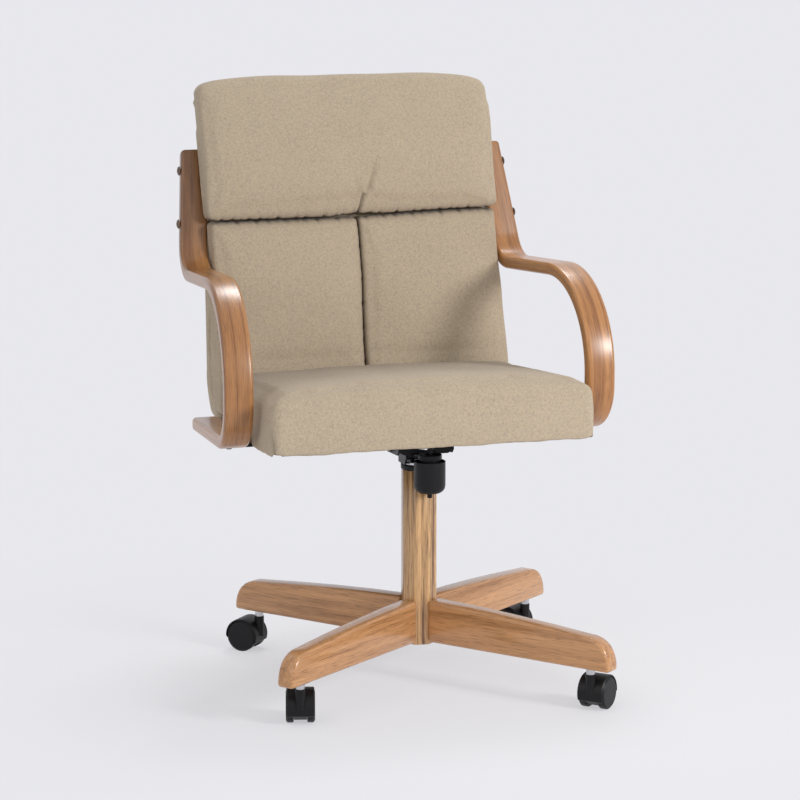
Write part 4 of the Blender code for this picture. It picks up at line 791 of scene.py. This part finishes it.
class MakeBack(bpy.types.Operator):
    """Makes the two lower panels, the upper pillow and the outer back"""
    bl_idname = "chair.make_back"
    bl_label = "Back cushions"

    def execute(self, context):
        step = context.scene.chair_cloth.step
        bottom = raked_z(SEAT_REAR, BOARD_TOP) + PANEL_LIFT
        half = (PANEL_HALF_WIDTH, 0.020, (SEAM - bottom) / 2)
        plan, faces = rounded_box(half, 0.0080, step)
        held = plan[:, 1] > half[1] - HELD_DEPTH
        for side, sign in SIDES.items():
            panel = swollen("back_panel_" + side, panel_points(half, sign, bottom, *plan.T),
                            faces[:, ::sign], held, (0.0006, 0.003, 0.0002, 0.0002, 0.0), 3.0)
            self.sew_panel(panel, sign)
            self.settle(panel)
            finish_cover(panel, "back_pad_" + side)

        bottom = SEAM + SEAM_GAP
        half = (PILLOW_HALF_WIDTH, 0.030, (PILLOW_TOP - bottom) / 2)
        plan, faces = rounded_box(half, 0.0120, step)
        held = (plan[:, 1] > half[1] - HELD_DEPTH) & (plan[:, 2] < 0.025)
        pillow = swollen("upper_pillow", pillow_points(half, bottom, *plan.T), faces, held,
                         (0.0010, 0.004, 0.0004, 0.0, 0.003), 3.5)
        self.sew_pillow(pillow)
        self.settle(pillow)
        finish_cover(pillow, "back_pillow")

        half = (SHELL_HALF_WIDTH, 0.030, (SHELL_TOP - SHELL_BOTTOM) / 2)
        plan, faces = rounded_box(half, 0.016, step)
        held = plan[:, 1] < 0.012 - half[1]
        outer = swollen("outer_back", shell_points(half, *plan.T), faces, held,
                        (0.0, 0.0002, 0.003, 0.001, 0.0), 2.5)
        self.sew_outer(outer)
        finish_cover(outer, "back_shell")
        return {"FINISHED"}

    @staticmethod
    def sew_panel(panel, sign):
        """Pleats along the cross seam, and a few along the seam in the middle."""
        points = points_of(panel)
        x, y, z = points.T
        face = front_share(y, z)
        top = clamp(1 - (SEAM - z) / 0.016) * face
        middle = clamp(1 - np.abs(x) / 0.012) * face
        pleats = gathers(x, 1.9, 0.0165) * top ** 1.5
        pleats += 0.4 * gathers(z, 0.7, 0.019) * middle ** 1.5
        wave = unevenness(points, 0.6 + sign, 0.14) * face * (1 - top) * (1 - middle)
        emboss(panel, 0.0013 * wave - 0.0030 * pleats)
        x, y, z = points_of(panel).T
        place = sign * np.maximum(sign * x, SEAM_GAP)
        move_points(panel, np.column_stack([place, y, np.minimum(z, SEAM)]))
        # Painted shade: the cloth darkens along the cross seam and the middle seam, more in the
        # pleats.
        edge = np.maximum(np.exp(-(SEAM - z) / 0.0042), np.exp(-np.abs(x) / 0.0030))
        tint(panel, "painted_shade", clamp(edge * (0.75 + 0.5 * pleats)))

    @staticmethod
    def sew_pillow(pillow):
        """Pleats along the cross seam, the dimple above the middle seam, and the crease that
        forks from it: a sharp branch up to the right and a softer one up to the left."""
        points = points_of(pillow)
        x, y, z = points.T
        face = front_share(y, z)
        low = clamp(1 - (z - SEAM) / 0.020) * face
        pleats = gathers(x, 4.3, 0.0155) * low ** 1.4
        stem, share = line_distance(x, z, [(-0.001, 0.694), (0.006, 0.712), (0.012, 0.7287)])
        trunk = fold(stem, 0.0026) * (1 - 0.25 * share)
        right, share = line_distance(x, z, [(0.0150, 0.7240), (0.0215, 0.7400), (0.0300, 0.7660),
                                            (0.0385, 0.7960)])
        sharp = fold(right, 0.0036) * clamp(4 * share) * (1 - share) ** 0.8
        left, share = line_distance(x, z, [(0.0080, 0.7260), (0.0030, 0.7430), (-0.0040, 0.7680)])
        soft = fold(left, 0.0050) * clamp(4 * share) * (1 - share)
        dimple = bell(x, 0.030) * bell(z - 0.705, 0.022)
        height = -0.0048 * trunk - 0.0046 * sharp - 0.0026 * soft - 0.0030 * dimple
        height += 0.0013 * unevenness(points, 2.4, 0.13) * (1 - low)
        emboss(pillow, face * height - 0.0034 * pleats)
        x, y, z = points_of(pillow).T
        move_points(pillow, np.column_stack([x, y, np.maximum(z, SEAM + SEAM_GAP)]))
        # Painted shade: the cloth darkens along the cross seam, more in the pleats, and in the
        # crease and its branches.
        edge = np.exp(-(z - SEAM) / 0.0060) * (0.8 + 0.7 * pleats)
        crease = 1.10 * clamp(trunk) + 0.50 * clamp(sharp) + 0.16 * clamp(soft)
        tint(pillow, "painted_shade", clamp(edge + crease * face))

    @staticmethod
    def sew_outer(outer):
        """A pressed fold down each side above the seat, where the cover is drawn in, and a soft
        unevenness behind."""
        points = points_of(outer)
        x, y, z = points.T
        line = [(0.345, 0.600), (0.352, 0.520), (0.356, 0.460), (0.340, 0.415), (0.325, 0.395)]
        distance, share = line_distance(y, z, line)
        side = clamp((np.abs(x) - 0.225) / 0.012)
        pressed = fold(distance, 0.0032) * side * np.sin(np.pi * np.clip(share, 0.02, 0.98)) ** 0.6
        emboss(outer, 0.0010 * unevenness(points, 3.3, 0.15) * (1 - side) - 0.0026 * pressed)
        # Painted shade in the pressed fold down each side.
        tint(outer, "painted_shade", 0.65 * clamp(pressed))

    @staticmethod
    def settle(piece):
        """The cross seam sags by 7.7 mm to the left, and the middle seam bows up to 6 mm to the
        right. Pillow and panels move alike, less with distance from the seams, and keep their
        distance from the board behind."""
        x, y, z = points_of(piece).T
        sag, end = 0.0077, SEAM + 0.036
        near = np.where(z > SEAM, smooth_step(z, end, SEAM), smooth_step(z, SEAM - 0.090, SEAM))
        level = z - sag * near * (1 - smooth_step(x, -0.10, 0.26))
        bow = np.interp(z, [0.490, 0.600, 0.670, SEAM, end], [0, 0.0062, 0.0058, 0.0042, 0])
        bow *= clamp(1 - np.abs(x) / 0.10)
        new_y = y + back_line(level) - back_line(z)
        move_points(piece, np.column_stack([x + bow, new_y, level]))


class MakeArms(bpy.types.Operator):
    """Makes the two bent oak arms"""
    bl_idname = "chair.make_arms"
    bl_label = "Bent arms"

    def execute(self, context):
        settings = context.scene.chair_wood
        for side, sign in SIDES.items():
            arm = self.strip("bent_arm_" + side, sign, settings.edge)
            finish_finer(arm, "oak_arm_" + side, "arm_" + side)
        return {"FINISHED"}

    @staticmethod
    def strip(name, sign, edge):
        """A rounded rectangle carried along the arm's path. The heading is a polyline of the
        distance, flat on the straights and sloping in the bends, and its cosine and sine are
        summed to give the path. The section shrinks over the last millimetres of each end."""
        turns = np.radians(ARM_HEADINGS)
        bends = np.abs(np.diff(turns)) * ARM_RADII
        knots = running_sum(np.insert(ARM_LENGTHS, [1, 2, 3], bends))
        fine = np.linspace(0, knots[-1], 4001)
        heading = np.interp(fine, knots, np.repeat(turns, 2))
        middle = (heading[1:] + heading[:-1]) / 2
        steps = np.diff(fine)
        y = ARM_TOP[0] + running_sum(-np.cos(middle) * steps)
        z = ARM_TOP[1] + running_sum(np.sin(middle) * steps)

        ends = np.array([0.0, 0.0004, 0.0012, 0.0025, 0.005, 0.009])
        along = np.concatenate([ends, np.linspace(0.014, knots[-1] - 0.014, 230),
                                knots[-1] - ends[::-1]])
        py, pz = np.interp(along, fine, y), np.interp(along, fine, z)
        angle = np.interp(along, fine, heading)

        w, t = ARM_WIDTH / 2, ARM_THICKNESS / 2
        turn = np.radians(np.linspace(0, 90, 7) + 90 * np.arange(4)[:, None])
        right, upper = np.array([[1], [-1], [-1], [1]]), np.array([[1], [1], [-1], [-1]])
        across = (right * (w - edge) + edge * np.cos(turn)).ravel()
        deep = (upper * (t - edge) + edge * np.sin(turn)).ravel()

        def shrink(distance, radius):
            near = np.clip(radius - distance, 0, radius)
            return radius - np.sqrt(radius ** 2 - near ** 2)

        left = knots[-1] - along
        inset = shrink(along, 0.003) + shrink(left, 0.003)
        plan = shrink(along, 0.005) + shrink(left, 0.009)
        wide = (w - plan)[:, None] / w * across[None, :]
        thick = (t - inset)[:, None] / t * deep[None, :] + t
        sy = py[:, None] - np.sin(angle)[:, None] * thick
        sz = pz[:, None] - np.cos(angle)[:, None] * thick
        sx = sign * (arm_outside(sy, sz) - w - wide)
        arm = ring_mesh(name, sx, sy, sz, -sign)
        grain = np.stack(np.broadcast_arrays(along[:, None], wide, thick), -1)
        tint(arm, "grain", grain, "FLOAT_VECTOR", "vector")
        return arm


class MakeSpring(bpy.types.Operator):
    """Makes the tension spring"""
    bl_idname = "chair.make_spring"
    bl_label = "Tension spring"

    def execute(self, context):
        """At the tilt's limit the yoke's arm comes down by 8.7 mm at the spring's middle and by
        2.5 mm more at its rim, so the spring shortens to 0.70 of its length there."""
        low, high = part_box("tension_spring")
        centre = Vector((low[0] + high[0], low[1] + high[1], 0)) / 2
        wire = 0.0015
        spring = self.coil(centre, (high[0] - low[0]) / 2 - wire, wire, low[2], high[2])
        finish_finer(spring, "plated_steel", "tension_spring")
        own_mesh(spring)
        return {"FINISHED"}

    @staticmethod
    def coil(centre, radius, wire, low, high):
        """A tube of constant pitch: its middle is at r(cos a, sin a) and rises evenly with the
        angle, and its section lies across the coil's own direction. Its ends are closed."""
        turns, around = 5, 10
        angle = np.linspace(0, 2 * np.pi * turns, turns * 32 + 1)[:, None]
        turn = np.linspace(0, 2 * np.pi, around + 1)[None, :-1]
        rise = (high - low - 2 * wire) / (2 * np.pi * turns)
        tilt = np.arctan2(rise, radius)
        out = radius + wire * np.cos(turn)
        aside = -wire * np.sin(turn) * np.sin(tilt)
        x = centre.x + out * np.cos(angle) - aside * np.sin(angle)
        y = centre.y + out * np.sin(angle) + aside * np.cos(angle)
        z = low + wire + rise * angle + wire * np.sin(turn) * np.cos(tilt)
        return ring_mesh("coil_spring", x, y, z)


class DressSolids(bpy.types.Operator):
    """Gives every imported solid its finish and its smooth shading"""
    bl_idname = "chair.dress_solids"
    bl_label = "Wood, steel and plastic"

    def execute(self, context):
        soften = self.shading_group()
        slots = {item["node"]: item["material_slot"] for item in frame["record"]["subparts"]}
        finishes = {"black_plastic": "moulded_black", "black_steel": "black_enamel",
                    "bright_steel": "plated_steel", "plywood": "bare_plywood",
                    "black_cloth": "black_lining"}
        for name, obj in frame["nodes"].items():
            finish = finishes.get(slots[name], "beige_weave")
            if slots[name] == "oak":
                finish = "oak_" + name
            elif name.startswith("arm_bolt"):
                finish = "bronzed_steel"
            if finish in bpy.data.materials:
                finish_with(obj, bpy.data.materials[finish])
            obj.modifiers.new("soft_shading", "NODES").node_group = soften
        return {"FINISHED"}

    @staticmethod
    def shading_group():
        """Welds the loose triangles and shades them smooth, with edges over 35 degrees sharp."""
        tree = bpy.data.node_groups.new("soft_shading", "GeometryNodeTree")
        tree.is_modifier = True
        for way in ("INPUT", "OUTPUT"):
            tree.interface.new_socket("Geometry", in_out=way, socket_type="NodeSocketGeometry")
        start = tree.nodes.new("NodeGroupInput")
        weld = add_node(tree, "GeometryNodeMergeByDistance",
                        {"Geometry": start.outputs[0], "Distance": 1e-6})
        smooth = add_node(tree, "GeometryNodeSetShadeSmooth", {"Geometry": weld.outputs[0]},
                          domain="FACE")
        angle = add_node(tree, "GeometryNodeInputMeshEdgeAngle").outputs["Unsigned Angle"]
        sharp = add_node(tree, "FunctionNodeCompare", {"A": angle, "B": math.radians(35)},
                         operation="GREATER_THAN").outputs[0]
        edges = add_node(tree, "GeometryNodeSetShadeSmooth",
                         {"Geometry": smooth.outputs[0], "Selection": sharp,
                          "Shade Smooth": False}, domain="EDGE")
        add_node(tree, "NodeGroupOutput", {0: edges.outputs[0]})
        return tree


class MixFinishes(bpy.types.Operator):
    """Makes the materials"""
    bl_idname = "chair.mix_finishes"
    bl_label = "Finishes"

    def execute(self, context):
        wood = context.scene.chair_wood
        metal = context.scene.chair_metal
        cloth_material(context.scene.chair_cloth)
        legs, arms = (wood.leg_light, wood.leg_dark), (wood.arm_light, wood.arm_dark)
        for index, letter in enumerate(LEG_ORDER):
            turn = -math.radians(LEG_HEADING + 90 * index)
            oak_material("oak_leg_" + letter, legs, wood.roughness, 3.1 * index, turn=turn)
        oak_material("oak_column", (wood.column_light, wood.column_dark), wood.roughness, 1.3,
                     along=2, stripes=1.35, spread=0.085)
        # Painted shade: the left arm's colours are darkened to 0.88, and its upright is darkened
        # more than the right one's, for the light that falls on each side.
        for seed, side, side_shade, upright_shade in ((7.0, "right", 1.0, 0.84), (8.0, "left", 0.88, 0.58)):
            colours = [tuple(side_shade * c for c in colour) for colour in arms]
            oak_material("oak_arm_" + side, colours, wood.roughness + 0.06, seed,
                         attribute="grain", coat=0.26, upright_shade=upright_shade)
        black, bright = tuple(metal.black), tuple(metal.bright)
        for finish in (("moulded_black", black, 0.42, 0.0, 900, 0.0002),
                       ("black_enamel", black, 0.34, 0.3, 300, 0.0001),
                       ("bronzed_steel", (0.17, 0.115, 0.080), 0.45, 0.4, 300, 0.0001),
                       ("plated_steel", bright, 0.26, 1.0, 500, 0.00005),
                       ("black_lining", (0.012, 0.012, 0.013), 0.95, 0.0, 1200, 0.0003),
                       ("bare_plywood", (0.60, 0.44, 0.27), 0.75, 0.0, 200, 0.0002)):
            plain_material(*finish)
        return {"FINISHED"}


class MakeStudio(bpy.types.Operator):
    """Makes the floor, the lights, the surround and the camera"""
    bl_idname = "chair.make_studio"
    bl_label = "Studio"

    def execute(self, context):
        settings = context.scene.chair_studio
        self.floor(settings)
        self.surround(settings)
        self.lamp("key_light", (1.78, -2.48, 1.60), (0.70, 0.70), settings.key)
        self.lamp("fill_light", (-2.6, -1.6, 1.9), (1.4, 1.8), settings.fill)
        self.lamp("top_light", (0.66, 1.55, 3.0), (0.8, 0.8), settings.top)
        self.camera(context.scene)
        context.scene.view_settings.view_transform = "Standard"
        return {"FINISHED"}

    @staticmethod
    def floor(settings):
        """A disc of paper in rings, with points at r(cos a, sin a), that fades into the
        surround's colour with distance."""
        radii = np.array([0.0001, 0.5, 1.0, 1.5, 2.0, 3.0, 5.0, 9.0, 16.0, 30.0])
        angles = np.linspace(0, 2 * math.pi, 97)[:-1]
        x = radii[:, None] * np.cos(angles)
        y = radii[:, None] * np.sin(angles)
        paper = ring_mesh("paper_floor", x, y, np.zeros_like(x), capped=False)
        made, tree, shader = new_material("pale_paper", 0.85)
        shader.inputs["Base Color"].default_value = (0.94, 0.94, 0.96, 1)
        shader.inputs["Specular IOR Level"].default_value = 0.15
        fade = faded(tree, vector_maths(tree, "LENGTH", object_place(tree)), 0.30, 1.1, 0.62)
        glow = add_node(tree, "ShaderNodeEmission", {"Color": (*settings.paper, 1)}).outputs[0]
        share = maths(tree, "MULTIPLY", fade, seen_rays(tree))
        mix_surface(tree, "Material Output", share, shader.outputs[0], glow)
        finish_with(paper, made)

    @staticmethod
    def surround(settings):
        """Even light from all round, which the camera and reflections see as the paper's colour."""
        world = bpy.data.worlds.new("surround")
        world.use_nodes = True
        bpy.context.scene.world = world
        tree = world.node_tree
        light = tree.nodes["Background"]
        light.inputs["Color"].default_value = (1, 1, 1, 1)
        light.inputs["Strength"].default_value = settings.sky
        seen = add_node(tree, "ShaderNodeBackground", {"Color": (*settings.paper, 1)})
        mix_surface(tree, "World Output", seen_rays(tree), light.outputs[0], seen.outputs[0])

    @staticmethod
    def lamp(name, place, size, power):
        light = bpy.data.lights.new(name, "AREA")
        light.shape = "RECTANGLE"
        light.size, light.size_y = size
        light.energy = power
        lamp = bpy.data.objects.new(name, light)
        target = Vector((0, 0.05, 0.5))
        turn = (target - Vector(place)).to_track_quat("-Z", "Y").to_matrix()
        lamp.matrix_world = Matrix.Translation(place) @ turn.to_4x4()
        bpy.context.scene.collection.objects.link(lamp)

    @staticmethod
    def camera(scene):
        """The photograph's camera: 18 degrees to the left of the chair's front, 4.48 m from the
        column's axis and 1.25 m high."""
        around, away, height = math.radians(-18.0), 4.483, 1.252
        pan, pitch = math.radians(-0.375), math.radians(-10.20)
        place = Vector((away * math.sin(around), -away * math.cos(around), height))
        level = Vector((math.sin(pan - around), math.cos(pan - around), 0))
        forward = level * math.cos(pitch) + Vector((0, 0, math.sin(pitch)))
        right = Vector((level.y, -level.x, 0))
        above = right.cross(forward)
        lens = bpy.data.cameras.new("camera")
        lens.sensor_width = 36
        lens.lens = 132.8
        camera = bpy.data.objects.new("camera", lens)
        turn = Matrix((right, above, -forward)).transposed()
        camera.matrix_world = Matrix.Translation(place) @ turn.to_4x4()
        scene.collection.objects.link(camera)
        scene.camera = camera


class ChairPanel(bpy.types.Panel):
    """Lists the steps that make the chair"""
    bl_idname = "VIEW3D_PT_chair"
    bl_label = "Swivel armchair"
    bl_space_type = "VIEW_3D"
    bl_region_type = "UI"
    bl_category = "Chair"

    def draw(self, context):
        for setting in SETTINGS:
            group, box = getattr(context.scene, setting), self.layout.box()
            for name in group.__annotations__:
                box.prop(group, name)
        for step in STEPS:
            self.layout.operator(step.bl_idname)


SETTINGS = {"chair_cloth": ChairClothSettings, "chair_wood": ChairWoodSettings,
            "chair_metal": ChairMetalSettings, "chair_studio": ChairStudioSettings}
STEPS = (MixFinishes, MakeSeat, MakeBack, MakeArms, MakeSpring, DressSolids, MakeStudio)
CLASSES = (*SETTINGS.values(), *STEPS, ChairPanel)


def register():
    for item in CLASSES:
        bpy.utils.register_class(item)
    for name, group in SETTINGS.items():
        setattr(bpy.types.Scene, name, PointerProperty(type=group))


def unregister():
    for name in SETTINGS:
        delattr(bpy.types.Scene, name)
    for item in reversed(CLASSES):
        bpy.utils.unregister_class(item)


def main():
    register()
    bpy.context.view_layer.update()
    bpy.ops.chair.mix_finishes()
    bpy.ops.chair.make_seat()
    bpy.ops.chair.make_back()
    bpy.ops.chair.make_arms()
    bpy.ops.chair.make_spring()
    bpy.ops.chair.dress_solids()
    bpy.ops.chair.make_studio()


if __name__ == "__main__":
    main()
